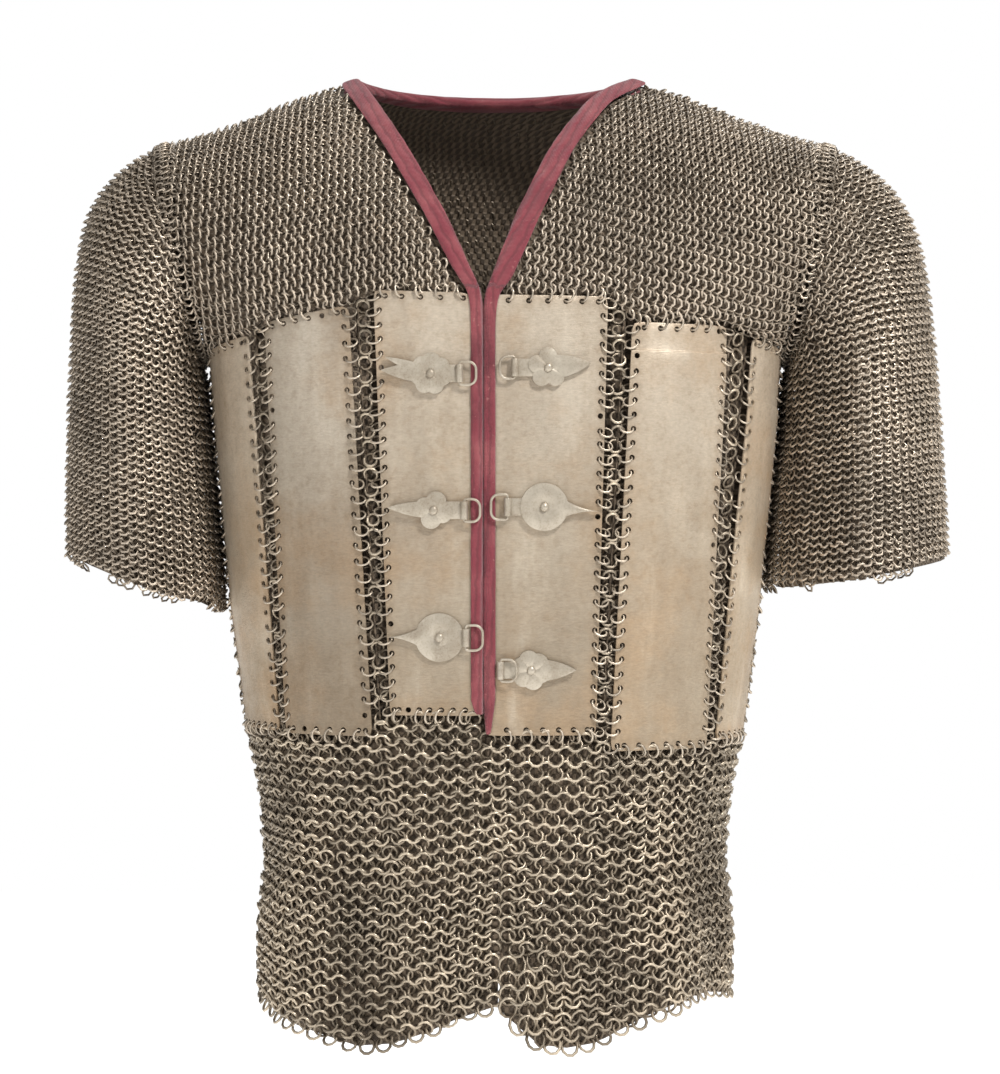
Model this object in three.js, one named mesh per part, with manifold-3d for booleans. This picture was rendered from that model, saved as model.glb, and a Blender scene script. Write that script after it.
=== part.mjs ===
// Mail and plate hauberk: a hip length coat of mail with six iron plates in its front.
// Millimetres, +Z up. The origin is the middle of the shoulder line, where the wearer carries the coat.
// The front faces -Y. Left and right are the wearer's, so the left side is +X.
import * as THREE from 'three';
import { mergeVertices } from 'three/addons/utils/BufferGeometryUtils.js';
import Module from 'manifold-3d';

const wasm = await Module();
wasm.setup();

// Driving dimensions
const mailWall = 2.4;
const plateWall = 1.5;
const seam = 0.3;
const sectionPower = 2.4; // roundness of the body's sections, 2 is an ellipse
const ridgeY = 5; // the shoulder ridge lies a little behind the middle
const neckHalf = 87; // shoulder line to the neck point
const neckDrop = 139; // neck point to the bottom of the V
const chestFront = 113; // depth of the V's bottom
const collarPower = 1.6; // fall of the chest from the neck point
const backNeck = { deep: 52, drop: 9 };
const sideAngle = 80; // degrees round from the front to the plates' outer edges
const armhole = { topX: 208, topZ: -42, lowX: 182.5, lowZ: -179, halfDepth: 66, frontTurn: 151 };
const armpitDip = { top: -173, dip: 9, spread: 9 };
const backHem = -578;
const flapGap = 1.0;
const openingX = -7; // line of the front opening
const edgeBack = 2.6; // plates and mail stop this far short of it, inside their binding
const splitX = 2.5; // line of the skirt's split, below the plates
const splitRun = { from: -412, to: -480 };
const binding = { leg: 5.2, neckLeg: 12.5, backLeg: 10, thick: 1.3, gap: 0.35, neckGap: 0.7, backGap: 1,
  over: 2.2 };
const clasp = { thick: 1.2, seat: 0.3, strap: 10.5, bore: 1.2, roll: 1.0, rivet: 3.2, dome: 1.7 };
const wire = { width: 1.6, bevel: 0.42 };
const foldedTurn = THREE.MathUtils.degToRad(165);

// Body sections, from the chest down to the hem
const bodySections = [
  { z: -110, half: 184, front: 113, back: 106 },
  { z: -168, half: 181, front: 116, back: 111 },
  { z: -253, half: 174, front: 118, back: 112 },
  { z: -330, half: 167, front: 114, back: 106 },
  { z: -415, half: 156, front: 109, back: 101 },
  { z: -432, half: 152, front: 106, back: 100 },
  { z: -453, half: 148.5, front: 104, back: 100 },
  { z: -490, half: 146, front: 104, back: 102 },
  { z: -515, half: 149.5, front: 107, back: 104 },
  { z: -540, half: 151, front: 108, back: 106 },
  { z: -610, half: 149, front: 109, back: 107 },
];

// Hanging folds of the skirt: degrees round from the front, spread in degrees, and lift at the hem
const skirtFolds = [
  { at: -52, spread: 13, lift: 4.5 },
  { at: -30, spread: 10, lift: -3.5 },
  { at: 24, spread: 10, lift: -3 },
  { at: 41, spread: 9, lift: 5 },
  { at: 64, spread: 9, lift: -4 },
  { at: 128, spread: 12, lift: 4.5 },
  { at: 160, spread: 13, lift: -4 },
  { at: 196, spread: 12, lift: 4 },
  { at: 236, spread: 13, lift: -4 },
];
const foldRun = { from: -420, to: -560 };

// Shoulder ridge, out from the middle
const ridge = [
  { across: 0, z: 0 },
  { across: 87, z: 0 },
  { across: 129, z: -14 },
  { across: 155, z: -25 },
  { across: 183, z: -35 },
  { across: 208, z: -42 },
];

// Edge of the V neck on each side, as shares of its drop
const neckEdge = [
  { fall: 0, right: 87, left: 87 },
  { fall: 0.09, right: 78, left: 62 },
  { fall: 0.33, right: 56, left: 36 },
  { fall: 0.65, right: 31, left: 14 },
  { fall: 0.9, right: 16, left: 1 },
  { fall: 1, right: edgeBack - openingX, left: edgeBack + openingX },
];

// Long edges of the plates: distance out from the middle at the plates' tops and bottoms, and the heights
// where the tops and bottoms of the plates and link strips pass them. The last edge lies at the side angle.
const edgeRun = { top: -140, bottom: -405 };
const plateEdges = {
  right: [
    { top: edgeBack - openingX, bottom: edgeBack - openingX, topZ: -139, bottomZ: -393 },
    { top: 73, bottom: 63, topZ: -137, bottomZ: -393 },
    { top: 88, bottom: 74, topZ: -146, bottomZ: -406 },
    { top: 141, bottom: 128, topZ: -156, bottomZ: -406 },
    { top: 152, bottom: 132, topZ: -163, bottomZ: -405 },
    { topZ: -173, bottomZ: -405 },
  ],
  left: [
    { top: edgeBack + openingX, bottom: edgeBack + openingX, topZ: -140, bottomZ: -405 },
    { top: 68, bottom: 61, topZ: -141, bottomZ: -405 },
    { top: 83, bottom: 70, topZ: -156, bottomZ: -415 },
    { top: 142, bottom: 130, topZ: -158, bottomZ: -415 },
    { top: 160, bottom: 136, topZ: -165, bottomZ: -411 },
    { topZ: -172, bottomZ: -411 },
  ],
};

// Hem of the front skirts, out from the middle
const frontHem = [
  { across: -3, right: -573, left: -574 },
  { across: 5, right: -574, left: -577 },
  { across: 20, right: -579, left: -594 },
  { across: 32, right: -585, left: -598 },
  { across: 52, right: -593, left: -599 },
  { across: 66, right: -597, left: -595 },
  { across: 80, right: -600, left: -587 },
  { across: 93, right: -599, left: -581 },
  { across: 112, right: -593, left: -575 },
  { across: 130, right: -586, left: -571 },
  { across: 150, right: -578, left: -576 },
];

// Sleeve rings from armhole to cuff: outer point, inner point and half depth
const sleeveRings = {
  right: [
    { outX: 208, outZ: -42, inX: 182.5, inZ: -179, deep: 66 },
    { outX: 228, outZ: -51, inX: 184.5, inZ: -184, deep: 69 },
    { outX: 245, outZ: -66, inX: 186, inZ: -190, deep: 71 },
    { outX: 257, outZ: -86, inX: 186, inZ: -197, deep: 72 },
    { outX: 263, outZ: -112, inX: 185, inZ: -208, deep: 73 },
    { outX: 266, outZ: -146, inX: 183.5, inZ: -226, deep: 74 },
    { outX: 268, outZ: -190, inX: 181, inZ: -254, deep: 74 },
    { outX: 270, outZ: -243, inX: 178, inZ: -289, deep: 75 },
    { outX: 270, outZ: -302, inX: 175, inZ: -333, deep: 75 },
  ],
  left: [
    { outX: 208, outZ: -42, inX: 182.5, inZ: -179, deep: 66 },
    { outX: 229, outZ: -51, inX: 184.5, inZ: -184, deep: 69 },
    { outX: 248, outZ: -66, inX: 186, inZ: -190, deep: 71 },
    { outX: 262, outZ: -87, inX: 186, inZ: -197, deep: 72 },
    { outX: 270, outZ: -113, inX: 185, inZ: -207, deep: 74 },
    { outX: 275, outZ: -150, inX: 183.5, inZ: -224, deep: 75 },
    { outX: 279, outZ: -195, inX: 181, inZ: -250, deep: 76 },
    { outX: 283, outZ: -247, inX: 177.5, inZ: -283, deep: 77 },
    { outX: 286, outZ: -305, inX: 174, inZ: -323, deep: 78 },
  ],
};

// Folds of the sleeves: degrees round from the outer point by way of the front, and where they run
const sleeveFolds = {
  right: [
    { at: 78, spread: 16, lift: 4, from: 0.35, to: 1 },
    { at: 122, spread: 15, lift: -5, from: 0.2, to: 0.95 },
    { at: 250, spread: 18, lift: -4, from: 0.2, to: 1 },
    { at: 290, spread: 16, lift: 3, from: 0.4, to: 1 },
  ],
  left: [
    { at: 96, spread: 13, lift: 6, from: 0.3, to: 1 },
    { at: 132, spread: 16, lift: -5, from: 0.25, to: 1 },
    { at: 48, spread: 15, lift: -3, from: 0.5, to: 1 },
    { at: 245, spread: 18, lift: -4, from: 0.2, to: 1 },
    { at: 292, spread: 16, lift: 3, from: 0.4, to: 1 },
  ],
};

// Clasps: middle of the riveted body, its radius and petals, reach to the tip and the eye, and the loop
const clasps = [
  { name: 'right_top', side: 'right', x: -38.3, z: -187.5, radius: 11.3, petals: 5, tip: 29.7, tail: 8.5,
    eye: 17.3, loopHigh: 15.5, loopReach: 10.8, folded: false },
  { name: 'right_middle', side: 'right', x: -36.5, z: -269, radius: 10.6, petals: 5, tip: 27.5, tail: 5,
    eye: 18.3, loopHigh: 15.2, loopReach: 10.4, folded: false },
  { name: 'right_low', side: 'right', x: -33.2, z: -345.4, radius: 14.6, petals: 0, tip: 32, tail: 6.5,
    eye: 15.9, loopHigh: 16.8, loopReach: 11, folded: false },
  { name: 'left_top', side: 'left', x: 31.7, z: -184, radius: 11, petals: 5, tip: 25.7, tail: 7.5,
    eye: 20, loopHigh: 15, loopReach: 9.8, folded: false },
  { name: 'left_middle', side: 'left', x: 29.3, z: -267, radius: 14.3, petals: 0, tip: 32.7, tail: 6.5,
    eye: 21.9, loopHigh: 16.8, loopReach: 10.8, folded: false },
  { name: 'left_low', side: 'left', x: 21.5, z: -365, radius: 11.3, petals: 5, tip: 27, tail: 8,
    eye: 18.3, loopHigh: 15, loopReach: 10.6, folded: true },
];

// Finishes
const finishes = {
  fineMail: { color: 0x6f665b, roughness: 0.55, metalness: 0.75 },
  coarseMail: { color: 0x6d6354, roughness: 0.55, metalness: 0.75 },
  plate: { color: 0xbdb19d, roughness: 0.5, metalness: 0.6 },
  clasp: { color: 0xa79f8e, roughness: 0.5, metalness: 0.65 },
  cloth: { color: 0xa36566, roughness: 0.95, metalness: 0 },
};

const sideSign = { right: -1, left: 1 };
const sides = ['right', 'left'];
const { degToRad, lerp, smoothstep } = THREE.MathUtils;

// Value of a column between the rows of a table, straight from row to row
function between(rows, key, column, at) {
  const rising = rows[rows.length - 1][key] > rows[0][key];
  let index = 0;
  while (index < rows.length - 2 && (rising ? at > rows[index + 1][key] : at < rows[index + 1][key])) {
    index += 1;
  }
  const low = rows[index];
  const high = rows[index + 1];
  const share = THREE.MathUtils.clamp((at - low[key]) / (high[key] - low[key]), 0, 1);
  return lerp(low[column], high[column], share);
}

function bell(distance, spread) {
  return Math.exp(-((distance / spread) ** 2));
}

// Body surface: angle in degrees round from the front, towards the left, at a height
function bodyPoint(angle, z) {
  const turn = degToRad(angle);
  const half = between(bodySections, 'z', 'half', z);
  const deep = between(bodySections, 'z', Math.cos(turn) > 0 ? 'front' : 'back', z);
  const power = 2 / sectionPower;
  const x = Math.sign(Math.sin(turn)) * half * Math.abs(Math.sin(turn)) ** power;
  const y = -Math.sign(Math.cos(turn)) * deep * Math.abs(Math.cos(turn)) ** power;
  const low = smoothstep(-z, -foldRun.from, -foldRun.to);
  const round = angle > 270 ? angle - 360 : angle;
  const lift = skirtFolds.reduce((sum, fold) => sum + fold.lift * bell(round - fold.at, fold.spread), 0);
  const out = new THREE.Vector3(x, y, 0).normalize().multiplyScalar(lift * low);
  return new THREE.Vector3(x, y, z).add(out);
}

function bodyNormal(angle, z) {
  const step = 0.5;
  const round = bodyPoint(angle + step, z).sub(bodyPoint(angle - step, z));
  const down = bodyPoint(angle, z - step).sub(bodyPoint(angle, z + step));
  const normal = round.cross(down).normalize();
  const point = bodyPoint(angle, z);
  return normal.x * point.x + normal.y * point.y < 0 ? normal.negate() : normal;
}

// Angle of the front half of the body's section at a distance across
function angleAt(x, z) {
  const share = Math.min(Math.abs(x) / between(bodySections, 'z', 'half', z), 0.999);
  return Math.sign(x) * THREE.MathUtils.radToDeg(Math.asin(share ** (sectionPower / 2)));
}

const panelParts = 3; // steps over each plate

// A closed wall from rows of outer points and the directions into its thickness
function wallGeometry(outer, inward, thickness, wraps = false) {
  const rowCount = outer.length;
  const columnCount = outer[0].length;
  const points = [];
  outer.forEach((row) => row.forEach((point) => points.push(point)));
  outer.forEach((row, r) => row.forEach((point, c) => {
    points.push(point.clone().addScaledVector(inward[r][c], thickness));
  }));
  const innerStart = rowCount * columnCount;
  const at = (r, c) => r * columnCount + (c % columnCount);
  const faces = [];
  const quad = (a, b, c, d) => faces.push(a, b, c, a, c, d);
  const spans = wraps ? columnCount : columnCount - 1;
  for (let r = 0; r < rowCount - 1; r += 1) {
    for (let c = 0; c < spans; c += 1) {
      const ring = [at(r, c), at(r, c + 1), at(r + 1, c + 1), at(r + 1, c)];
      quad(...ring);
      quad(...ring.map((index) => index + innerStart).reverse());
    }
  }
  const rim = (from, to) => quad(to, from, from + innerStart, to + innerStart);
  for (let c = 0; c < spans; c += 1) {
    rim(at(0, c), at(0, c + 1));
    rim(at(rowCount - 1, c + 1), at(rowCount - 1, c));
  }
  if (!wraps) {
    for (let r = 0; r < rowCount - 1; r += 1) {
      rim(at(r, columnCount - 1), at(r + 1, columnCount - 1));
      rim(at(r + 1, 0), at(r, 0));
    }
  }
  return closedGeometry(points, faces);
}

// Geometry from points and triangles, turned so that its faces point out
function closedGeometry(points, faces) {
  let volume = 0;
  for (let f = 0; f < faces.length; f += 3) {
    const [a, b, c] = [points[faces[f]], points[faces[f + 1]], points[faces[f + 2]]];
    volume += a.dot(b.clone().cross(c));
  }
  const geometry = new THREE.BufferGeometry().setFromPoints(points);
  geometry.setIndex(volume < 0 ? faces.slice().reverse() : faces);
  geometry.computeVertexNormals();
  return geometry;
}

function steps(count, from = 0, to = 1) {
  return Array.from({ length: count + 1 }, (unused, index) => lerp(from, to, index / count));
}

// Rows of points of a panel, with its borders drawn in by half a seam
function panelPoints(surface, acrossSteps, downSteps) {
  const grid = downSteps.map((down) => acrossSteps.map((across) => surface(across, down)));
  const toward = (from, to) => to.clone().sub(from).normalize().multiplyScalar(seam / 2);
  const last = grid[0].length - 1;
  const bottom = grid.length - 1;
  return grid.map((row, r) => row.map((point, c) => {
    const moved = point.clone();
    if (c === 0) moved.add(toward(point, row[1]));
    if (c === last) moved.add(toward(point, row[last - 1]));
    if (r === 0) moved.add(toward(point, grid[1][c]));
    if (r === bottom) moved.add(toward(point, grid[bottom - 1][c]));
    return moved;
  }));
}

// Panel of the body between two angles and two heights that may change across and down
function bodyPanel(place, acrossSteps, downCount, thickness) {
  const downSteps = steps(downCount);
  const surface = (across, down) => bodyPoint(...place(across, down));
  const outer = panelPoints(surface, acrossSteps, downSteps);
  const inward = downSteps.map((down) => acrossSteps.map((across) => {
    return bodyNormal(...place(across, down)).negate();
  }));
  return wallGeometry(outer, inward, thickness);
}

// Distance across of a plate's long edge at a height, and its angle round the body
function edgeX(side, index, z) {
  const edge = plateEdges[side][index];
  const share = (z - edgeRun.top) / (edgeRun.bottom - edgeRun.top);
  return sideSign[side] * lerp(edge.top, edge.bottom, share);
}

function edgeAngle(side, index, z) {
  const lastEdge = plateEdges[side].length - 1;
  return index === lastEdge ? sideSign[side] * sideAngle : angleAt(edgeX(side, index, z), z);
}

// Place on the front between two long edges, from the plates' tops to their bottoms
function frontPlace(side, index) {
  const [near, far] = plateEdges[side].slice(index, index + 2);
  return (across, down) => {
    const nearZ = lerp(near.topZ, near.bottomZ, down);
    const farZ = lerp(far.topZ, far.bottomZ, down);
    const angle = lerp(edgeAngle(side, index, nearZ), edgeAngle(side, index + 1, farZ), across);
    return [angle, lerp(nearZ, farZ, across)];
  };
}

// Angles of the long edges along the plates' tops or bottoms, as turns away from the middle
function edgeTurns(side, column) {
  return plateEdges[side].map((edge, index) => {
    return { turn: sideSign[side] * edgeAngle(side, index, edge[column]), z: edge[column] };
  });
}

// Steps across a panel that reach each long edge, with finer steps over the plates
function stepsByEdges(turns, start) {
  const end = turns[turns.length - 1].turn;
  const shares = turns.map(({ turn }) => (turn - start) / (end - start));
  const list = shares[0] > 0.001 ? [0] : [];
  shares.slice(0, -1).forEach((share, index) => {
    const parts = index % 2 === 0 ? panelParts : 1;
    list.push(...steps(parts, Math.max(share, 0), shares[index + 1]).slice(0, -1));
  });
  return [...list, 1];
}

function splitAt(side, z) {
  const line = lerp(openingX, splitX, smoothstep(-z, -splitRun.from, -splitRun.to));
  return line + sideSign[side] * flapGap / 2;
}

// Place on a front skirt, from the plates' bottoms to the hem
function skirtPlace(side) {
  const turns = edgeTurns(side, 'bottomZ');
  return (across, down) => {
    const startTop = sideSign[side] * angleAt(splitAt(side, turns[0].z), turns[0].z);
    const topZ = between(turns, 'turn', 'z', lerp(startTop, sideAngle, across));
    const guess = lerp(topZ, backHem, down);
    const start = sideSign[side] * angleAt(splitAt(side, guess), guess);
    const reach = Math.abs(bodyPoint(lerp(start, sideAngle, across), guess).x);
    const z = lerp(topZ, between(frontHem, 'across', side, reach), down);
    return [sideSign[side] * lerp(start, sideAngle, across), z];
  };
}

function skirtSteps(side) {
  const turns = edgeTurns(side, 'bottomZ');
  return stepsByEdges(turns, sideSign[side] * angleAt(splitAt(side, turns[0].z), turns[0].z));
}

// Height of the back body's upper edge, which dips under each arm
function bodyTop(angle) {
  const fromSide = Math.min(Math.abs(angle - 90), Math.abs(angle - 270));
  return armpitDip.top - armpitDip.dip * bell(fromSide, armpitDip.spread);
}

function backPlace(across, down) {
  const angle = lerp(sideAngle, 360 - sideAngle, across);
  return [angle, lerp(bodyTop(angle), backHem, down)];
}

// Armhole loop: turn in degrees from the shoulder point by way of the front
const armholeCentre = new THREE.Vector3(
  (armhole.topX + armhole.lowX) / 2, ridgeY / 2, (armhole.topZ + armhole.lowZ) / 2);

function armholePoint(side, turn) {
  const cosine = Math.cos(degToRad(turn));
  const x = armholeCentre.x + cosine * (armhole.topX - armhole.lowX) / 2;
  const z = armholeCentre.z + cosine * (armhole.topZ - armhole.lowZ) / 2;
  const y = armholeCentre.y + cosine * ridgeY / 2 - armhole.halfDepth * Math.sin(degToRad(turn));
  return new THREE.Vector3(sideSign[side] * x, y, z);
}

function towardArmhole(side, point) {
  const centre = armholeCentre.clone();
  centre.x *= sideSign[side];
  return centre.sub(point).normalize();
}

function ridgePoint(side, across) {
  return new THREE.Vector3(sideSign[side] * across, ridgeY, between(ridge, 'across', 'z', across));
}

// Surface between four border curves; left and right run down, top and bottom run across
function between4(top, bottom, left, right) {
  return (s, t) => {
    const point = top(s).multiplyScalar(1 - t).addScaledVector(bottom(s), t);
    point.addScaledVector(left(t), 1 - s).addScaledVector(right(t), s);
    point.addScaledVector(top(0), -(1 - s) * (1 - t)).addScaledVector(top(1), -s * (1 - t));
    return point.addScaledVector(bottom(0), -(1 - s) * t).addScaledVector(bottom(1), -s * t);
  };
}

function surfaceNormal(surface, s, t, away) {
  const step = 0.01;
  const clamp = (value) => THREE.MathUtils.clamp(value, 0, 1);
  const across = surface(clamp(s + step), t).sub(surface(clamp(s - step), t));
  const down = surface(s, clamp(t + step)).sub(surface(s, clamp(t - step)));
  const normal = across.cross(down).normalize();
  return normal.dot(surface(s, t).sub(away)) < 0 ? normal.negate() : normal;
}

const chestCore = new THREE.Vector3(0, 0, -140);
const straightDown = new THREE.Vector3(0, 0, -1);

// Edge of the V neck, from the neck point to the V's bottom
function neckPoint(side, fall) {
  const across = between(neckEdge, 'fall', side, fall);
  const y = ridgeY - (chestFront + ridgeY) * (1 - (1 - fall) ** collarPower) ** (1 / collarPower);
  return new THREE.Vector3(sideSign[side] * across, y, -neckDrop * fall);
}

function yokeSurface(side) {
  const turns = edgeTurns(side, 'topZ');
  const bottom = (s) => {
    const turn = lerp(turns[0].turn, sideAngle, s);
    return bodyPoint(sideSign[side] * turn, between(turns, 'turn', 'z', turn));
  };
  const outer = (t) => {
    const miss = bottom(1).sub(armholePoint(side, armhole.frontTurn));
    return armholePoint(side, armhole.frontTurn * t).addScaledVector(miss, t ** 4);
  };
  const inner = (t) => neckPoint(side, t).lerp(bottom(0), t ** 6);
  const top = (s) => ridgePoint(side, lerp(neckHalf, armhole.topX, s));
  return between4(top, bottom, inner, outer);
}

const yokeDown = 11;

function yokeGeometry(side) {
  const surface = yokeSurface(side);
  const turns = edgeTurns(side, 'topZ');
  const acrossSteps = stepsByEdges(turns, turns[0].turn);
  const downSteps = steps(yokeDown);
  const outer = panelPoints(surface, acrossSteps, downSteps);
  const inward = downSteps.map((t, r) => acrossSteps.map((s, c) => {
    const point = surface(s, t);
    if (r === 0) return straightDown.clone();
    if (r === yokeDown) return bodyNormal(angleAt(point.x, point.z), point.z).negate();
    if (c === acrossSteps.length - 1) return towardArmhole(side, point);
    return surfaceNormal(surface, s, t, chestCore).negate();
  }));
  return wallGeometry(outer, inward, mailWall);
}

// Back yoke: ridge, back neck and ridge along its top, back body along its bottom
const backShares = { ridge: 0.3, sideTurn: 101, bindingStart: 0.014, lift: 0.8 };

function backNeckPoint(share) {
  const turn = Math.PI * share;
  return new THREE.Vector3(
    neckHalf * Math.cos(turn), ridgeY + backNeck.deep * Math.sin(turn), -backNeck.drop * Math.sin(turn));
}

function backTop(s) {
  const ridgeShare = backShares.ridge;
  if (s <= ridgeShare) return ridgePoint('left', lerp(armhole.topX, neckHalf, s / ridgeShare));
  if (s >= 1 - ridgeShare) return ridgePoint('right', lerp(armhole.topX, neckHalf, (1 - s) / ridgeShare));
  return backNeckPoint((s - ridgeShare) / (1 - 2 * ridgeShare));
}

function backBottom(s) {
  const angle = lerp(backShares.sideTurn, 360 - backShares.sideTurn, s);
  return bodyPoint(angle, bodyTop(angle) + backShares.lift);
}

function backArmhole(side) {
  const end = side === 'left' ? 0 : 1;
  return (t) => {
    const miss = backBottom(end).sub(armholePoint(side, -armhole.frontTurn));
    return armholePoint(side, -armhole.frontTurn * t).addScaledVector(miss, t ** 4);
  };
}

const fullBack = between4(backTop, backBottom, backArmhole('left'), backArmhole('right'));
const bladeDraw = 25; // the mail lies this much flatter between the armholes than its borders curve

function backSurface(s, t) {
  const draw = bladeDraw * Math.sin(Math.PI * s) ** 0.7 * Math.sin(Math.PI * t);
  return fullBack(s, t).sub(new THREE.Vector3(0, draw, 0));
}

// Columns of the back yoke, with one where the neck's binding starts on each side
const backDown = 9;
const bindingFirst = backShares.ridge + backShares.bindingStart;
const backColumns = [...steps(20), bindingFirst, 1 - bindingFirst].sort((a, b) => a - b);

function backYokeGeometry() {
  const downSteps = steps(backDown);
  const outer = panelPoints(backSurface, backColumns, downSteps);
  const inward = downSteps.map((t, r) => backColumns.map((s, c) => {
    const point = backSurface(s, t);
    const onRidge = s <= backShares.ridge + 0.01 || s >= 1 - backShares.ridge - 0.01;
    if (r === 0 && onRidge) return straightDown.clone();
    if (r === backDown) {
      const angle = lerp(backShares.sideTurn, 360 - backShares.sideTurn, s);
      return bodyNormal(angle, bodyTop(angle)).negate();
    }
    if (c === 0) return towardArmhole('left', point);
    if (c === backColumns.length - 1) return towardArmhole('right', point);
    return surfaceNormal(backSurface, s, t, chestCore).negate();
  }));
  return wallGeometry(outer, inward, mailWall);
}

// Sleeve tube: share down its length, turn in degrees from its outer point by way of the front
function sleevePoint(side, share, turn) {
  const rows = sleeveRings[side].map((row, index, all) => ({ ...row, at: index / (all.length - 1) }));
  const value = (column) => between(rows, 'at', column, share);
  const cosine = Math.cos(degToRad(turn));
  const sine = Math.sin(degToRad(turn));
  const centreX = (value('outX') + value('inX')) / 2;
  const centreZ = (value('outZ') + value('inZ')) / 2;
  const halfX = (value('outX') - value('inX')) / 2;
  const halfZ = (value('outZ') - value('inZ')) / 2;
  const lift = sleeveFolds[side].reduce((sum, fold) => {
    const run = smoothstep(share, fold.from, (fold.from + fold.to) / 2);
    return sum + fold.lift * run * bell(turn - fold.at, fold.spread);
  }, 0);
  const swell = 1 + lift / value('deep');
  const y = armholeCentre.y + cosine * ridgeY / 2 - value('deep') * sine * swell;
  return new THREE.Vector3(sideSign[side] * (centreX + halfX * cosine), y, centreZ + halfZ * cosine);
}

const sleeveSteps = { round: 26, down: 11 };

function sleeveGeometry(side) {
  const turns = steps(sleeveSteps.round, 0, 360).slice(0, -1);
  const shares = steps(sleeveSteps.down);
  const outer = shares.map((share) => turns.map((turn) => sleevePoint(side, share, turn)));
  outer[0].forEach((point, c) => {
    point.add(outer[1][c].clone().sub(point).normalize().multiplyScalar(seam));
  });
  const inward = outer.map((row, r) => row.map((point, c) => {
    if (r === 0) return towardArmhole(side, point);
    const next = row[(c + 1) % row.length];
    const before = row[(c + row.length - 1) % row.length];
    const down = outer[Math.min(r + 1, outer.length - 1)][c].clone().sub(outer[r - 1][c]);
    const normal = next.clone().sub(before).cross(down).normalize();
    const centre = row.reduce((sum, other) => sum.add(other), new THREE.Vector3()).divideScalar(row.length);
    return normal.dot(centre.sub(point)) < 0 ? normal.negate() : normal;
  }));
  return wallGeometry(outer, inward, mailWall, true);
}

// Folded cloth strip: a channel whose two legs lie over and under the edge of a wall.
// Each row gives the point at a distance in from the edge and out from the outer face.
function channelGeometry(rows) {
  const points = [];
  rows.forEach(({ place, leg, gap }) => {
    const { thick, over } = binding;
    const wall = mailWall;
    const profile = [
      [leg, gap], [leg, gap + thick], [leg / 2, gap + thick], [-over, gap + thick],
      [-over, -wall - gap - thick], [leg / 2, -wall - gap - thick], [leg, -wall - gap - thick],
      [leg, -wall - gap], [leg / 2, -wall - gap], [-over + thick, -wall - gap],
      [-over + thick, gap], [leg / 2, gap],
    ];
    profile.forEach(([inside, out]) => points.push(place(inside, out)));
  });
  const count = points.length / rows.length;
  const faces = [];
  for (let r = 0; r < rows.length - 1; r += 1) {
    for (let p = 0; p < count; p += 1) {
      const next = (p + 1) % count;
      const corners = [r * count + p, r * count + next, (r + 1) * count + next, (r + 1) * count + p];
      faces.push(corners[0], corners[1], corners[2], corners[0], corners[2], corners[3]);
    }
  }
  // End caps, as the five quads of the channel's section
  const capQuads = [[0, 1, 2, 11], [11, 2, 3, 10], [10, 3, 4, 9], [9, 4, 5, 8], [8, 5, 6, 7]];
  const lastRow = (rows.length - 1) * count;
  capQuads.forEach(([a, b, c, d]) => {
    faces.push(a, c, b, a, d, c);
    faces.push(lastRow + a, lastRow + b, lastRow + c, lastRow + a, lastRow + c, lastRow + d);
  });
  return closedGeometry(points, faces);
}

// Point of a surface at a distance in from its edge and out from its face
function fromEdge(edge, into, normal) {
  return (inside, out) => into(Math.max(inside, 0))
    .addScaledVector(normal(Math.max(inside, 0)), out)
    .addScaledVector(edge, Math.max(-inside, 0));
}

const plateSteps = { across: 5, down: 9 };

// Binding of one side, from the bottom of the front plate up to the neck point
function bindingGeometry(side) {
  const place = frontPlace(side, 0);
  const plateEdge = openingX + sideSign[side] * edgeBack;
  const rows = steps(plateSteps.down, 1, 0).map((down) => {
    const z = place(0, down)[1];
    const turn = (inside) => angleAt(plateEdge + sideSign[side] * inside, z);
    const onPlate = fromEdge(
      new THREE.Vector3(-sideSign[side], 0, 0),
      (inside) => bodyPoint(turn(inside), z),
      (inside) => bodyNormal(turn(inside), z));
    return { place: onPlate, leg: binding.leg, gap: binding.gap };
  });
  const surface = yokeSurface(side);
  steps(yokeDown, 1, 0).slice(1).forEach((t) => {
    const width = surface(0.2, t).distanceTo(surface(0, t)) / 0.2;
    const atNeck = t === 0;
    const shift = new THREE.Vector3(0, atNeck ? -seam : 0, 0);
    const onYoke = fromEdge(
      surface(0, t).sub(surface(0.05, t)).normalize(),
      (inside) => surface(inside / width, t).add(shift),
      (inside) => (atNeck ? straightDown.clone().negate()
        : surfaceNormal(surface, inside / width, t, chestCore)));
    rows.push({ place: onYoke, leg: lerp(binding.neckLeg, binding.leg, t ** 3), gap: binding.neckGap });
  });
  return channelGeometry(rows);
}

// Binding of the back neck, between the two neck points
function backBindingGeometry() {
  const neckColumns = backColumns.filter((s) => s >= bindingFirst && s <= 1 - bindingFirst);
  const rows = neckColumns.map((s) => {
    const width = backSurface(s, 0.1).distanceTo(backSurface(s, 0)) / 0.1;
    const onBack = fromEdge(
      backSurface(s, 0).sub(backSurface(s, 0.05)).normalize(),
      (inside) => backSurface(s, inside / width),
      (inside) => surfaceNormal(backSurface, s, inside / width, chestCore));
    return { place: onBack, leg: binding.backLeg, gap: binding.backGap };
  });
  return channelGeometry(rows);
}

// Solids for joining pieces of a clasp
function solidOf(geometry) {
  const bare = geometry.clone();
  bare.deleteAttribute('normal');
  bare.deleteAttribute('uv');
  const merged = mergeVertices(bare, 1e-4);
  const mesh = new wasm.Mesh({
    numProp: 3,
    vertProperties: new Float32Array(merged.attributes.position.array),
    triVerts: new Uint32Array(merged.index.array),
  });
  return new wasm.Manifold(mesh);
}

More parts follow.
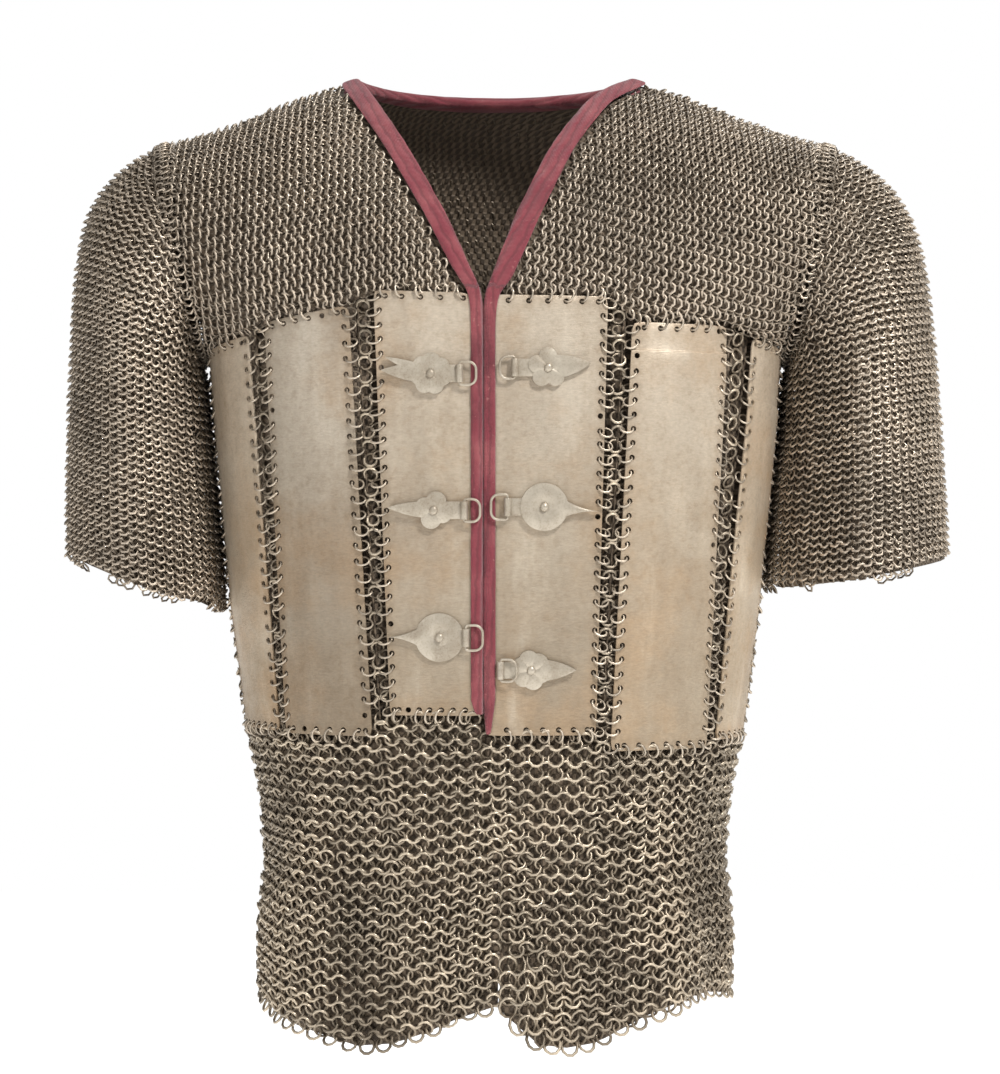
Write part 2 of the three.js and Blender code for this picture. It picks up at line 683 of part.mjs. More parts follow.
function geometryOf(solid) {
  const mesh = solid.getMesh();
  const geometry = new THREE.BufferGeometry();
  geometry.setAttribute('position', new THREE.BufferAttribute(mesh.vertProperties, 3));
  geometry.setIndex(new THREE.BufferAttribute(mesh.triVerts, 1));
  geometry.computeVertexNormals();
  return geometry;
}

const petalDip = 0.17;
const outlinePoints = 25;

// Riveted body of a clasp: a round disc, or a flower with shallow petals
function claspBody({ radius, petals }) {
  const outline = Array.from({ length: outlinePoints }, (unused, index) => {
    const turn = 2 * Math.PI * index / outlinePoints;
    const dip = petals ? petalDip * (1 - Math.abs(Math.cos(petals * turn / 2))) : 0;
    return new THREE.Vector2(Math.cos(turn), Math.sin(turn)).multiplyScalar(radius * (1 - dip));
  });
  return new THREE.ExtrudeGeometry(new THREE.Shape(outline), { depth: clasp.thick, bevelEnabled: false });
}

// Leaf shaped tail, pointing away from the opening
function claspTail({ radius, tip, tail }) {
  const root = -radius * 0.5;
  const shape = new THREE.Shape();
  shape.moveTo(root, -tail);
  shape.quadraticCurveTo(-radius * 1.35, -tail * 0.75, -tip, 0);
  shape.quadraticCurveTo(-radius * 1.35, tail * 0.75, root, tail);
  shape.closePath();
  return new THREE.ExtrudeGeometry(shape, { depth: clasp.thick, bevelEnabled: false, curveSegments: 6 });
}

// Strap that runs to the eye, and the eye rolled from its end
function claspStrap({ eye }) {
  const length = eye - clasp.bore - clasp.roll * 0.3;
  const strap = new THREE.BoxGeometry(length, clasp.strap, clasp.thick);
  return strap.translate(length / 2, 0, clasp.thick / 2);
}

function claspRoll({ eye }) {
  const rollRadius = clasp.bore + clasp.roll;
  const shape = new THREE.Shape().absarc(0, 0, rollRadius, 0, 2 * Math.PI);
  shape.holes.push(new THREE.Path().absarc(0, 0, clasp.bore, 0, 2 * Math.PI, true));
  const roll = new THREE.ExtrudeGeometry(shape, {
    depth: clasp.strap, bevelEnabled: false, curveSegments: 6 });
  return roll.translate(0, 0, -clasp.strap / 2).rotateX(Math.PI / 2).translate(eye, 0, rollRadius);
}

// Domed rivet head in the middle of the body
function claspRivet() {
  const profile = steps(3, 0, Math.PI / 2).map((turn) => {
    return new THREE.Vector2(clasp.rivet * Math.cos(turn), clasp.thick + clasp.dome * Math.sin(turn));
  });
  profile[profile.length - 1].x = 0;
  const closed = [new THREE.Vector2(0, clasp.thick / 2), new THREE.Vector2(clasp.rivet, clasp.thick / 2)];
  return new THREE.LatheGeometry([...closed, ...profile], 10).rotateX(Math.PI / 2);
}

function claspGeometry(row) {
  const pieces = [claspBody(row), claspTail(row), claspStrap(row), claspRoll(row), claspRivet()];
  const joined = pieces.map(solidOf).reduce((sum, piece) => sum.add(piece));
  return geometryOf(joined).translate(0, 0, clasp.seat);
}

// Outline of a D shaped loop whose straight bar lies on the hinge axis
function loopOutline(path, near, far, half, farRadius, nearRadius) {
  path.moveTo(near, -half + nearRadius);
  path.quadraticCurveTo(near, -half, near + nearRadius, -half);
  path.lineTo(far - farRadius, -half);
  path.quadraticCurveTo(far, -half, far, -half + farRadius);
  path.lineTo(far, half - farRadius);
  path.quadraticCurveTo(far, half, far - farRadius, half);
  path.lineTo(near + nearRadius, half);
  path.quadraticCurveTo(near, half, near, half - nearRadius);
  path.closePath();
  return path;
}

const loopRounds = { far: 4.8, near: 1.6 };

function loopGeometry({ loopHigh, loopReach }) {
  const bar = wire.width / 2;
  const outer = loopOutline(
    new THREE.Shape(), -bar, loopReach, loopHigh / 2, loopRounds.far, loopRounds.near);
  const hole = loopOutline(
    new THREE.Path(), bar, loopReach - wire.width, loopHigh / 2 - wire.width,
    loopRounds.far - wire.width, loopRounds.near / 4);
  outer.holes.push(hole);
  const depth = wire.width - 2 * wire.bevel;
  const geometry = new THREE.ExtrudeGeometry(outer, {
    depth, curveSegments: 2, bevelThickness: wire.bevel, bevelSize: wire.bevel,
    bevelOffset: -wire.bevel, bevelSegments: 1 });
  return geometry.translate(0, 0, -depth / 2);
}

// The coat
const group = new THREE.Group();

function addMesh(parent, name, geometry, finish) {
  const mesh = new THREE.Mesh(geometry, new THREE.MeshStandardMaterial(finishes[finish]));
  mesh.name = name;
  parent.add(mesh);
  return mesh;
}

const frontPieces = [
  { name: 'plate_front', index: 0, wall: plateWall, finish: 'plate', across: plateSteps.across },
  { name: 'link_strip_front', index: 1, wall: mailWall, finish: 'coarseMail', across: 1 },
  { name: 'plate_middle', index: 2, wall: plateWall, finish: 'plate', across: plateSteps.across },
  { name: 'link_strip_side', index: 3, wall: mailWall, finish: 'coarseMail', across: 1 },
  { name: 'plate_side', index: 4, wall: plateWall, finish: 'plate', across: plateSteps.across },
];
const skirtDown = 9;
const backBodySteps = { across: 24, down: 13 };

sides.forEach((side) => {
  addMesh(group, `yoke_${side}`, yokeGeometry(side), 'fineMail');
  addMesh(group, `sleeve_${side}`, sleeveGeometry(side), 'fineMail');
  frontPieces.forEach(({ name, index, wall, finish, across }) => {
    const geometry = bodyPanel(frontPlace(side, index), steps(across), plateSteps.down, wall);
    addMesh(group, `${name}_${side}`, geometry, finish);
  });
  const skirt = bodyPanel(skirtPlace(side), skirtSteps(side), skirtDown, mailWall);
  addMesh(group, `skirt_${side}`, skirt, 'coarseMail');
  addMesh(group, `binding_${side}`, bindingGeometry(side), 'cloth');
});
addMesh(group, 'back_yoke', backYokeGeometry(), 'fineMail');
const backBody = bodyPanel(backPlace, steps(backBodySteps.across), backBodySteps.down, mailWall);
addMesh(group, 'back_body', backBody, 'coarseMail');
addMesh(group, 'binding_back', backBindingGeometry(), 'cloth');

// Each clasp stands flat against its plate, tangent at the rivet, with its loop in the eye
clasps.forEach((row) => {
  const angle = angleAt(row.x, row.z);
  const normal = bodyNormal(angle, row.z);
  const towardOpening = new THREE.Vector3(-sideSign[row.side], 0, 0);
  towardOpening.addScaledVector(normal, -towardOpening.dot(normal)).normalize();
  const upright = normal.clone().cross(towardOpening);
  const seatGroup = new THREE.Group();
  seatGroup.position.copy(bodyPoint(angle, row.z));
  seatGroup.quaternion.setFromRotationMatrix(
    new THREE.Matrix4().makeBasis(towardOpening, upright, normal));
  addMesh(seatGroup, `clasp_${row.name}`, claspGeometry(row), 'clasp');
  const loop = addMesh(seatGroup, `loop_${row.name}`, loopGeometry(row), 'clasp');
  loop.position.set(row.eye, 0, clasp.seat + clasp.bore + clasp.roll);
  loop.rotation.y = row.folded ? -foldedTurn : 0;
  group.add(seatGroup);
});

export default group;
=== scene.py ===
import math

import bmesh
import bpy
import numpy as np
from mathutils import Matrix, Vector, noise
from mathutils.bvhtree import BVHTree
from mathutils.interpolate import poly_3d_calc


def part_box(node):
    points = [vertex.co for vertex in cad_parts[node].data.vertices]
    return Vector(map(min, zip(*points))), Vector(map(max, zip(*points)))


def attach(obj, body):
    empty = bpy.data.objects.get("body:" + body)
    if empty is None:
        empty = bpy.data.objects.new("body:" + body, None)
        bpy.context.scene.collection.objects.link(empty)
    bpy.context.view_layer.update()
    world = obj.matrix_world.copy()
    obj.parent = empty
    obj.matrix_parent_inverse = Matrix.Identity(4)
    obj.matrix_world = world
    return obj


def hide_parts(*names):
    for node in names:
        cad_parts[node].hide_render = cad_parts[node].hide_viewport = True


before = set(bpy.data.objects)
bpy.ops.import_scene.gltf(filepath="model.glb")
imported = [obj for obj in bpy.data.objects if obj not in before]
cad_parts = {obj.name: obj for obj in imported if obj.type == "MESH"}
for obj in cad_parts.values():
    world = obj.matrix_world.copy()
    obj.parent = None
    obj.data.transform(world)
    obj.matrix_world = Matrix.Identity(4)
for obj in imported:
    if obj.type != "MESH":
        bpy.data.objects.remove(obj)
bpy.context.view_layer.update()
seed = 1431
rng = np.random.default_rng(seed)
noise.seed_set(seed)
print("frame loaded:", len(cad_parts), "nodes")

sides = {"right": -1.0, "left": 1.0}
mm = 0.001


# camera, light and floor
studio = {
    "lookAt": (0.003, 0.0, -0.288), "distance": 2.3, "elevation": 1.4, "lens": 122.4,
    "floorHeight": -1.0, "floorSize": 8.0, "floorColour": (0.93, 0.93, 0.92), "floorGlow": 0.74,
    "ambient": 0.27, "backdrop": 1.0,
}
lamps = [
    {"name": "keyLight", "place": (1.25, -1.7, 1.75), "size": 0.4, "power": 80.0},
    {"name": "fillLight", "place": (-1.4, -2.0, 0.4), "size": 1.6, "power": 11.0},
    {"name": "backLight", "place": (0.5, 2.2, 1.3), "size": 1.6, "power": 24.0},
]


def aimAt(obj, target):
    obj.rotation_euler = (Vector(target) - obj.location).to_track_quat("-Z", "Y").to_euler()


def makeStudio():
    scene = bpy.context.scene
    scene.view_settings.view_transform = "Standard"
    cameraData = bpy.data.cameras.new("camera")
    cameraData.lens = studio["lens"]
    cameraData.sensor_width = 36.0
    camera = bpy.data.objects.new("camera", cameraData)
    tilt = math.radians(studio["elevation"])
    target = Vector(studio["lookAt"])
    camera.location = target + studio["distance"] * Vector((0.0, -math.cos(tilt), math.sin(tilt)))
    aimAt(camera, target)
    scene.collection.objects.link(camera)
    scene.camera = camera
    for row in lamps:
        data = bpy.data.lights.new(row["name"], "AREA")
        data.size = row["size"]
        data.energy = row["power"]
        lamp = bpy.data.objects.new(row["name"], data)
        lamp.location = row["place"]
        aimAt(lamp, studio["lookAt"])
        scene.collection.objects.link(lamp)
    world = bpy.data.worlds.new("studioWorld")
    world.use_nodes = True
    nodes, links = world.node_tree.nodes, world.node_tree.links
    nodes.clear()
    output = nodes.new("ShaderNodeOutputWorld")
    mix = nodes.new("ShaderNodeMixShader")
    path = nodes.new("ShaderNodeLightPath")
    for index, strength in ((1, studio["ambient"]), (2, studio["backdrop"])):
        sky = nodes.new("ShaderNodeBackground")
        sky.inputs["Color"].default_value = (1.0, 1.0, 1.0, 1.0)
        sky.inputs["Strength"].default_value = strength
        links.new(sky.outputs[0], mix.inputs[index])
    links.new(path.outputs["Is Camera Ray"], mix.inputs[0])
    links.new(mix.outputs[0], output.inputs[0])
    scene.world = world
    bm = bmesh.new()
    bmesh.ops.create_grid(bm, x_segments=2, y_segments=2, size=studio["floorSize"] / 2)
    bmesh.ops.translate(bm, verts=bm.verts, vec=(0.0, 0.0, studio["floorHeight"]))
    floor = newPiece("floor", bm)
    material = bpy.data.materials.new("paleFloor")
    material.use_nodes = True
    shader = material.node_tree.nodes["Principled BSDF"]
    shader.inputs["Base Color"].default_value = (*studio["floorColour"], 1.0)
    shader.inputs["Roughness"].default_value = 0.9
    shader.inputs["Emission Color"].default_value = (1.0, 1.0, 1.0, 1.0)
    shader.inputs["Emission Strength"].default_value = studio["floorGlow"]
    floor.data.materials.append(material)


def newPiece(name, bm):
    mesh = bpy.data.meshes.new(name)
    bm.to_mesh(mesh)
    bm.free()
    piece = bpy.data.objects.new(name, mesh)
    bpy.context.scene.collection.objects.link(piece)
    return piece


def shadeSmooth(piece, angle=40.0):
    piece.data.polygons.foreach_set("use_smooth", [True] * len(piece.data.polygons))
    piece.data.set_sharp_from_angle(angle=math.radians(angle))


# materials
def newGroup(name, inputs, outputs):
    tree = bpy.data.node_groups.new(name, "ShaderNodeTree")
    for label, kind, value in inputs:
        socket = tree.interface.new_socket(label, in_out="INPUT", socket_type=kind)
        socket.default_value = value
    for label, kind in outputs:
        tree.interface.new_socket(label, in_out="OUTPUT", socket_type=kind)
    start = tree.nodes.new("NodeGroupInput")
    end = tree.nodes.new("NodeGroupOutput")
    return tree, start, end


def mixColours(tree, first, second, share, blend="MIX"):
    node = tree.nodes.new("ShaderNodeMix")
    node.data_type = "RGBA"
    node.blend_type = blend
    for socket, value in ((node.inputs[0], share), (node.inputs[6], first), (node.inputs[7], second)):
        if isinstance(value, bpy.types.NodeSocket):
            tree.links.new(value, socket)
        elif isinstance(value, (int, float)):
            socket.default_value = value
        else:
            socket.default_value = (*value, 1.0)
    return node.outputs[2]


def mathNode(tree, operation, *values, clamp=False):
    node = tree.nodes.new("ShaderNodeMath")
    node.operation = operation
    node.use_clamp = clamp
    for socket, value in zip(node.inputs, values):
        if isinstance(value, bpy.types.NodeSocket):
            tree.links.new(value, socket)
        else:
            socket.default_value = value
    return node.outputs[0]


def spread(tree, value, low, high, toLow=0.0, toHigh=1.0):
    node = tree.nodes.new("ShaderNodeMapRange")
    node.interpolation_type = "SMOOTHSTEP"
    for socket, number in zip(node.inputs[1:5], (low, high, toLow, toHigh)):
        socket.default_value = number
    tree.links.new(value, node.inputs[0])
    return node.outputs[0]


def noiseNode(tree, coords, scale, detail=4.0, roughness=0.55):
    node = tree.nodes.new("ShaderNodeTexNoise")
    node.inputs["Detail"].default_value = detail
    node.inputs["Roughness"].default_value = roughness
    if isinstance(scale, bpy.types.NodeSocket):
        tree.links.new(scale, node.inputs["Scale"])
    else:
        node.inputs["Scale"].default_value = scale
    tree.links.new(coords, node.inputs["Vector"])
    return node.outputs["Fac"]


def patinaGroup():
    # brown stains in large and small patches, with fine pits as height
    tree, start, end = newGroup(
        "ironPatina",
        [("Vector", "NodeSocketVector", (0, 0, 0)), ("Iron", "NodeSocketColor", (0.5, 0.5, 0.5, 1)),
         ("Stain", "NodeSocketColor", (0.2, 0.1, 0.05, 1)), ("Amount", "NodeSocketFloat", 0.5),
         ("Size", "NodeSocketFloat", 12.0)],
        [("Colour", "NodeSocketColor"), ("Roughness", "NodeSocketFloat"), ("Height", "NodeSocketFloat")])
    coords = start.outputs["Vector"]
    large = noiseNode(tree, coords, start.outputs["Size"], 6.0, 0.62)
    fine = noiseNode(tree, coords, mathNode(tree, "MULTIPLY", start.outputs["Size"], 14.0), 5.0, 0.6)
    blotch = spread(tree, large, 0.36, 0.68)
    speck = spread(tree, fine, 0.45, 0.72)
    cover = mathNode(tree, "ADD", mathNode(tree, "MULTIPLY", blotch, 0.75),
                     mathNode(tree, "MULTIPLY", speck, 0.4))
    share = mathNode(tree, "MULTIPLY", cover, start.outputs["Amount"], clamp=True)
    colour = mixColours(tree, start.outputs["Iron"], start.outputs["Stain"], share)
    tree.links.new(colour, end.inputs["Colour"])
    tree.links.new(spread(tree, share, 0.0, 1.0, 0.36, 0.72), end.inputs["Roughness"])
    height = mathNode(tree, "SUBTRACT", fine, mathNode(tree, "MULTIPLY", speck, 0.3))
    tree.links.new(height, end.inputs["Height"])
    return tree


def weaveGroup():
    # crossing threads of a plain weave over a UV map laid out in millimetres
    tree, start, end = newGroup(
        "plainWeave",
        [("UV", "NodeSocketVector", (0, 0, 0)), ("Threads", "NodeSocketFloat", 1.0)],
        [("Height", "NodeSocketFloat"), ("Shade", "NodeSocketFloat")])
    split = tree.nodes.new("ShaderNodeSeparateXYZ")
    tree.links.new(start.outputs["UV"], split.inputs[0])
    turnX = mathNode(tree, "MULTIPLY", split.outputs[0], start.outputs["Threads"])
    turnY = mathNode(tree, "MULTIPLY", split.outputs[1], start.outputs["Threads"])
    waveX = mathNode(tree, "SINE", mathNode(tree, "MULTIPLY", turnX, math.pi))
    waveY = mathNode(tree, "SINE", mathNode(tree, "MULTIPLY", turnY, math.pi))
    product = mathNode(tree, "MULTIPLY", waveX, waveY)
    ribX = mathNode(tree, "ABSOLUTE", waveX)
    ribY = mathNode(tree, "ABSOLUTE", waveY)
    over = spread(tree, product, -0.2, 0.2)
    flat = mathNode(tree, "MULTIPLY", ribX, mathNode(tree, "SUBTRACT", 1.0, over))
    height = mathNode(tree, "ADD", flat, mathNode(tree, "MULTIPLY", ribY, over))
    tree.links.new(height, end.inputs["Height"])
    tree.links.new(spread(tree, height, 0.1, 0.8), end.inputs["Shade"])
    return tree


def newMaterial(name):
    material = bpy.data.materials.new(name)
    material.use_nodes = True
    tree = material.node_tree
    return material, tree, tree.nodes["Principled BSDF"]


def placeGroup(tree, group, values):
    node = tree.nodes.new("ShaderNodeGroup")
    node.node_tree = group
    for label, value in values.items():
        if isinstance(value, bpy.types.NodeSocket):
            tree.links.new(value, node.inputs[label])
        elif isinstance(value, (int, float)):
            node.inputs[label].default_value = value
        else:
            node.inputs[label].default_value = (*value, 1.0)
    return node


def objectCoords(tree):
    return tree.nodes.new("ShaderNodeTexCoord").outputs["Object"]


def attributeValue(tree, name):
    node = tree.nodes.new("ShaderNodeAttribute")
    node.attribute_name = name
    return node.outputs["Fac"]


def bumpNormal(tree, shader, height, strength, distance):
    bump = tree.nodes.new("ShaderNodeBump")
    bump.inputs["Strength"].default_value = strength
    bump.inputs["Distance"].default_value = distance
    tree.links.new(height, bump.inputs["Height"])
    tree.links.new(bump.outputs[0], shader.inputs["Normal"])


# each finish's stain colour is a real stain in its patina; on the rings and plates it is also used as painted
# shade
finishes = {
    "fineRings": {"iron": (0.43, 0.355, 0.27), "stainAndShade": (0.115, 0.082, 0.052), "bright": (0.54, 0.455, 0.36),
                  "amount": 0.7, "size": 16.0, "metallic": 0.6},
    "coarseRings": {"iron": (0.40, 0.33, 0.245), "stainAndShade": (0.11, 0.075, 0.045),
                    "bright": (0.53, 0.445, 0.335), "amount": 0.7, "size": 14.0, "metallic": 0.6},
    "linkRings": {"iron": (0.41, 0.345, 0.265), "stainAndShade": (0.11, 0.078, 0.05), "bright": (0.52, 0.44, 0.345),
                  "amount": 0.65, "size": 18.0, "metallic": 0.6},
    # the plates' low colour is painted shade at their lower ends
    "plates": {"iron": (0.57, 0.485, 0.38), "stainAndShade": (0.27, 0.19, 0.115), "low": (0.28, 0.215, 0.14),
               "rust": (0.40, 0.262, 0.145), "pale": (0.66, 0.62, 0.53), "amount": 0.6, "size": 17.0,
               "metallic": 0.35},
    "clasps": {"iron": (0.51, 0.45, 0.36), "stainAndShade": (0.17, 0.12, 0.072), "amount": 0.6, "size": 60.0,
               "metallic": 0.45},
    # the cloth's soil colour is real dirt, and also painted shade in the troughs of the ridges and between the
    # threads
    "cloth": {"red": (0.25, 0.036, 0.052), "faded": (0.36, 0.09, 0.098), "soilAndShade": (0.085, 0.017, 0.02),
              "thread": (0.46, 0.20, 0.18), "threads": 1.25},
    # the inner layer under the rings is coloured dark as painted shade in the gaps between the rings
    "netInside": {"dark": (0.085, 0.063, 0.044), "light": (0.2, 0.15, 0.104), "across": 1100.0,
                  "down": 850.0},
}
ironPatina = patinaGroup()
plainWeave = weaveGroup()


def greyOf(tree, level):
    node = tree.nodes.new("ShaderNodeCombineColor")
    for socket in node.inputs[:3]:
        tree.links.new(level, socket)
    return node.outputs[0]


def stretched(tree, coords, scale):
    node = tree.nodes.new("ShaderNodeVectorMath")
    node.operation = "MULTIPLY"
    tree.links.new(coords, node.inputs[0])
    node.inputs[1].default_value = scale
    return node.outputs[0]


def patinaOn(tree, look, coords, iron):
    return placeGroup(tree, ironPatina, {
        "Vector": coords, "Iron": iron, "Stain": look["stainAndShade"], "Amount": look["amount"], "Size": look["size"]})


def finishMetal(tree, shader, look, colour, patina):
    tree.links.new(colour, shader.inputs["Base Color"])
    tree.links.new(patina.outputs["Roughness"], shader.inputs["Roughness"])
    shader.inputs["Metallic"].default_value = look["metallic"]


def ringMaterial(name):
    look = finishes[name]
    material, tree, shader = newMaterial(name)
    patina = patinaOn(tree, look, objectCoords(tree), look["iron"])
    tint = attributeValue(tree, "ringTint")
    crest = attributeValue(tree, "ringCrest")
    # wear and painted highlight: the outward crests of each ring mix towards the bright colour
    rubbedAndHighlit = spread(tree, mathNode(tree, "ADD", crest, mathNode(tree, "MULTIPLY", tint, 0.5)), 0.25, 1.25)
    wearAndPaintedLight = mixColours(tree, patina.outputs["Colour"], look["bright"], rubbedAndHighlit)
    # painted shade: the inner side of each ring, towards the body, darkens to the stain colour
    shade = spread(tree, crest, -0.95, 0.1, 0.4, 1.0)
    deep = mixColours(tree, look["stainAndShade"], wearAndPaintedLight, shade)
    # the tint also carries the painted light and shade of the folds
    level = spread(tree, tint, 0.0, 1.0, 0.62, 1.2)
    colour = mixColours(tree, deep, greyOf(tree, level), 1.0, "MULTIPLY")
    finishMetal(tree, shader, look, colour, patina)
    bumpNormal(tree, shader, patina.outputs["Height"], 0.3, 0.0004)
    return material


def plateMaterial():
    look = finishes["plates"]
    material, tree, shader = newMaterial("plates")
    coords = objectCoords(tree)
    split = tree.nodes.new("ShaderNodeSeparateXYZ")
    tree.links.new(coords, split.inputs[0])
    # painted shade: the iron darkens towards the plates' lower ends, where less light falls from above
    shadeDownward = spread(tree, split.outputs[2], -0.14, -0.42)
    iron = mixColours(tree, look["iron"], look["low"], mathNode(tree, "MULTIPLY", shadeDownward, 0.75))
    patina = patinaOn(tree, look, coords, iron)
    # painted shade round the holes and along the borders, mixed towards the stain colour
    rim = attributeValue(tree, "rimShade")
    colour = mixColours(tree, patina.outputs["Colour"], look["stainAndShade"], mathNode(tree, "MULTIPLY", rim, 0.55))
    rust = spread(tree, noiseNode(tree, coords, 11.0, 7.0, 0.65), 0.46, 0.66, 0.0, 0.5)
    colour = mixColours(tree, colour, look["rust"], rust)
    streak = noiseNode(tree, stretched(tree, coords, (1.0, 1.0, 0.16)), 46.0, 5.0, 0.6)
    colour = mixColours(tree, colour, look["pale"], spread(tree, streak, 0.5, 0.78, 0.0, 0.26))
    grain = noiseNode(tree, stretched(tree, coords, (0.4, 0.7, 1.3)), 760.0, 5.0, 0.7)
    level = mathNode(tree, "MULTIPLY", spread(tree, grain, 0.3, 0.7, 0.9, 1.09),
                     spread(tree, streak, 0.3, 0.7, 0.9, 1.06))
    # each plate's brightness: partly its own tone, partly painted light for how brightly it is lit
    level = mathNode(tree, "MULTIPLY", level, attributeValue(tree, "plateToneAndLight"))
    colour = mixColours(tree, colour, greyOf(tree, level), 1.0, "MULTIPLY")
    finishMetal(tree, shader, look, colour, patina)
    dents = noiseNode(tree, coords, 55.0, 2.0, 0.4)
    scratch = mathNode(tree, "MULTIPLY", mathNode(tree, "ADD", patina.outputs["Height"], grain), 0.2)
    bumpNormal(tree, shader, mathNode(tree, "ADD", dents, scratch), 0.5, 0.0022)
    return material


def claspMaterial():
    look = finishes["clasps"]
    material, tree, shader = newMaterial("clasps")
    patina = patinaOn(tree, look, objectCoords(tree), look["iron"])
    finishMetal(tree, shader, look, patina.outputs["Colour"], patina)
    bumpNormal(tree, shader, patina.outputs["Height"], 0.35, 0.0005)
    return material


def clothMaterial():
    look = finishes["cloth"]
    material, tree, shader = newMaterial("redCloth")
    coords = objectCoords(tree)
    uv = tree.nodes.new("ShaderNodeUVMap")
    uv.uv_map = "clothUV"
    weave = placeGroup(tree, plainWeave, {"UV": uv.outputs[0], "Threads": look["threads"]})
    fade = spread(tree, noiseNode(tree, coords, 38.0, 6.0, 0.65), 0.38, 0.7)
    soilAndShade = spread(tree, noiseNode(tree, coords, 21.0, 5.0, 0.6), 0.5, 0.78)
    colour = mixColours(tree, look["red"], look["faded"], fade)
    colour = mixColours(tree, colour, look["soilAndShade"], mathNode(tree, "MULTIPLY", soilAndShade, 0.6))
    split = tree.nodes.new("ShaderNodeSeparateXYZ")
    tree.links.new(uv.outputs[0], split.inputs[0])
    # lengthwise ridges, bumped, with painted shade in their troughs
    wander = mathNode(tree, "MULTIPLY", noiseNode(tree, coords, 90.0, 4.0, 0.6), 7.0)
    across = mathNode(tree, "MULTIPLY", split.outputs[0], 1.2)
    ridge = mathNode(tree, "SINE", mathNode(tree, "ADD", across, wander))
    colour = mixColours(tree, colour, look["soilAndShade"], spread(tree, ridge, 0.2, 1.0, 0.0, 0.4))
    stitch = spread(tree, noiseNode(tree, coords, 520.0, 2.0, 0.5), 0.66, 0.74, 0.0, 0.6)
    colour = mixColours(tree, colour, look["thread"], stitch)
    # painted shade between the threads of the weave
    thread = spread(tree, weave.outputs["Shade"], 0.0, 1.0, 0.0, 0.45)
    colour = mixColours(tree, look["soilAndShade"], colour, mathNode(tree, "ADD", thread, 0.55))
    tree.links.new(colour, shader.inputs["Base Color"])
    shader.inputs["Roughness"].default_value = 0.95
    shader.inputs["Sheen Weight"].default_value = 0.25
    height = mathNode(tree, "SUBTRACT", weave.outputs["Height"], mathNode(tree, "MULTIPLY", ridge, 1.2))
    bumpNormal(tree, shader, height, 0.7, 0.0005)
    return material


def netInsideMaterial():
    # the net's inner layer: cells like rings in two browns, dark as painted shade for the gaps between the
    # rings
    look = finishes["netInside"]
    material, tree, shader = newMaterial("netInside")
    coords = objectCoords(tree)
    split = tree.nodes.new("ShaderNodeSeparateXYZ")
    tree.links.new(coords, split.inputs[0])
    around = mathNode(tree, "MULTIPLY", mathNode(tree, "ADD", split.outputs[0], split.outputs[1]),
                      look["across"])
    down = mathNode(tree, "MULTIPLY", split.outputs[2], look["down"])
    cells = mathNode(tree, "MULTIPLY", mathNode(tree, "SINE", around), mathNode(tree, "SINE", down))
    wearAndPaintedLight = mathNode(tree, "MULTIPLY", noiseNode(tree, coords, 160.0, 3.0, 0.6), 0.7)
    rise = spread(tree, mathNode(tree, "ADD", cells, wearAndPaintedLight), -0.1, 0.9)
    colour = mixColours(tree, look["light"], look["dark"], rise)
    tree.links.new(colour, shader.inputs["Base Color"])
    shader.inputs["Roughness"].default_value = 0.7
    shader.inputs["Metallic"].default_value = 0.4
    bumpNormal(tree, shader, rise, 0.8, 0.0012)
    return material


materials = {
    "fineRings": ringMaterial("fineRings"), "coarseRings": ringMaterial("coarseRings"),
    "linkRings": ringMaterial("linkRings"), "plates": plateMaterial(), "clasps": claspMaterial(),
    "cloth": clothMaterial(), "netInside": netInsideMaterial(),
}
makeStudio()
print("studio and materials made")


# shape of the body, in metres, angles in degrees round from the front
bodyRows = np.array([
    # z, half width, front depth, back depth
    (-110, 184, 113, 106), (-168, 181, 116, 111), (-253, 174, 118, 112), (-330, 167, 114, 106),
    (-415, 156, 109, 101), (-432, 152, 106, 100), (-453, 148.5, 104, 100), (-490, 146, 104, 102),
    (-515, 149.5, 107, 104), (-540, 151, 108, 106), (-610, 149, 109, 107)]) * mm
hangingFolds = [
    {"at": -52, "spread": 13, "lift": 4.5}, {"at": -30, "spread": 10, "lift": -3.5},
    {"at": 24, "spread": 10, "lift": -3}, {"at": 41, "spread": 9, "lift": 5},
    {"at": 64, "spread": 9, "lift": -4}, {"at": 128, "spread": 12, "lift": 4.5},
    {"at": 160, "spread": 13, "lift": -4}, {"at": 196, "spread": 12, "lift": 4},
    {"at": 236, "spread": 13, "lift": -4}]
bodyShape = {"power": 2 / 2.4, "foldFrom": -0.42, "foldTo": -0.56, "sideAngle": 80.0}


def foldLift(angle):
    near = np.where(np.asarray(angle) > 270, np.asarray(angle) - 360, angle)
    return sum(row["lift"] * np.exp(-((near - row["at"]) / row["spread"]) ** 2) for row in hangingFolds)


def bodyPoint(angle, z):
    angle, z = np.broadcast_arrays(np.asarray(angle, float), np.asarray(z, float))
    turn = np.radians(angle)
    columns = [np.interp(-z, -bodyRows[:, 0], bodyRows[:, index]) for index in (1, 2, 3)]
    deep = np.where(np.cos(turn) > 0, columns[1], columns[2])
    power = bodyShape["power"]
    x = np.sign(np.sin(turn)) * columns[0] * np.abs(np.sin(turn)) ** power
    y = -np.sign(np.cos(turn)) * deep * np.abs(np.cos(turn)) ** power
    share = np.clip((bodyShape["foldFrom"] - z) / (bodyShape["foldFrom"] - bodyShape["foldTo"]), 0, 1)
    low = share * share * (3 - 2 * share)
    size = 1 + foldLift(angle) * mm * low / np.hypot(x, y)
    return np.stack([x * size, y * size, z], axis=-1)


def unit(vectors):
    return vectors / np.maximum(np.linalg.norm(vectors, axis=-1, keepdims=True), 1e-12)


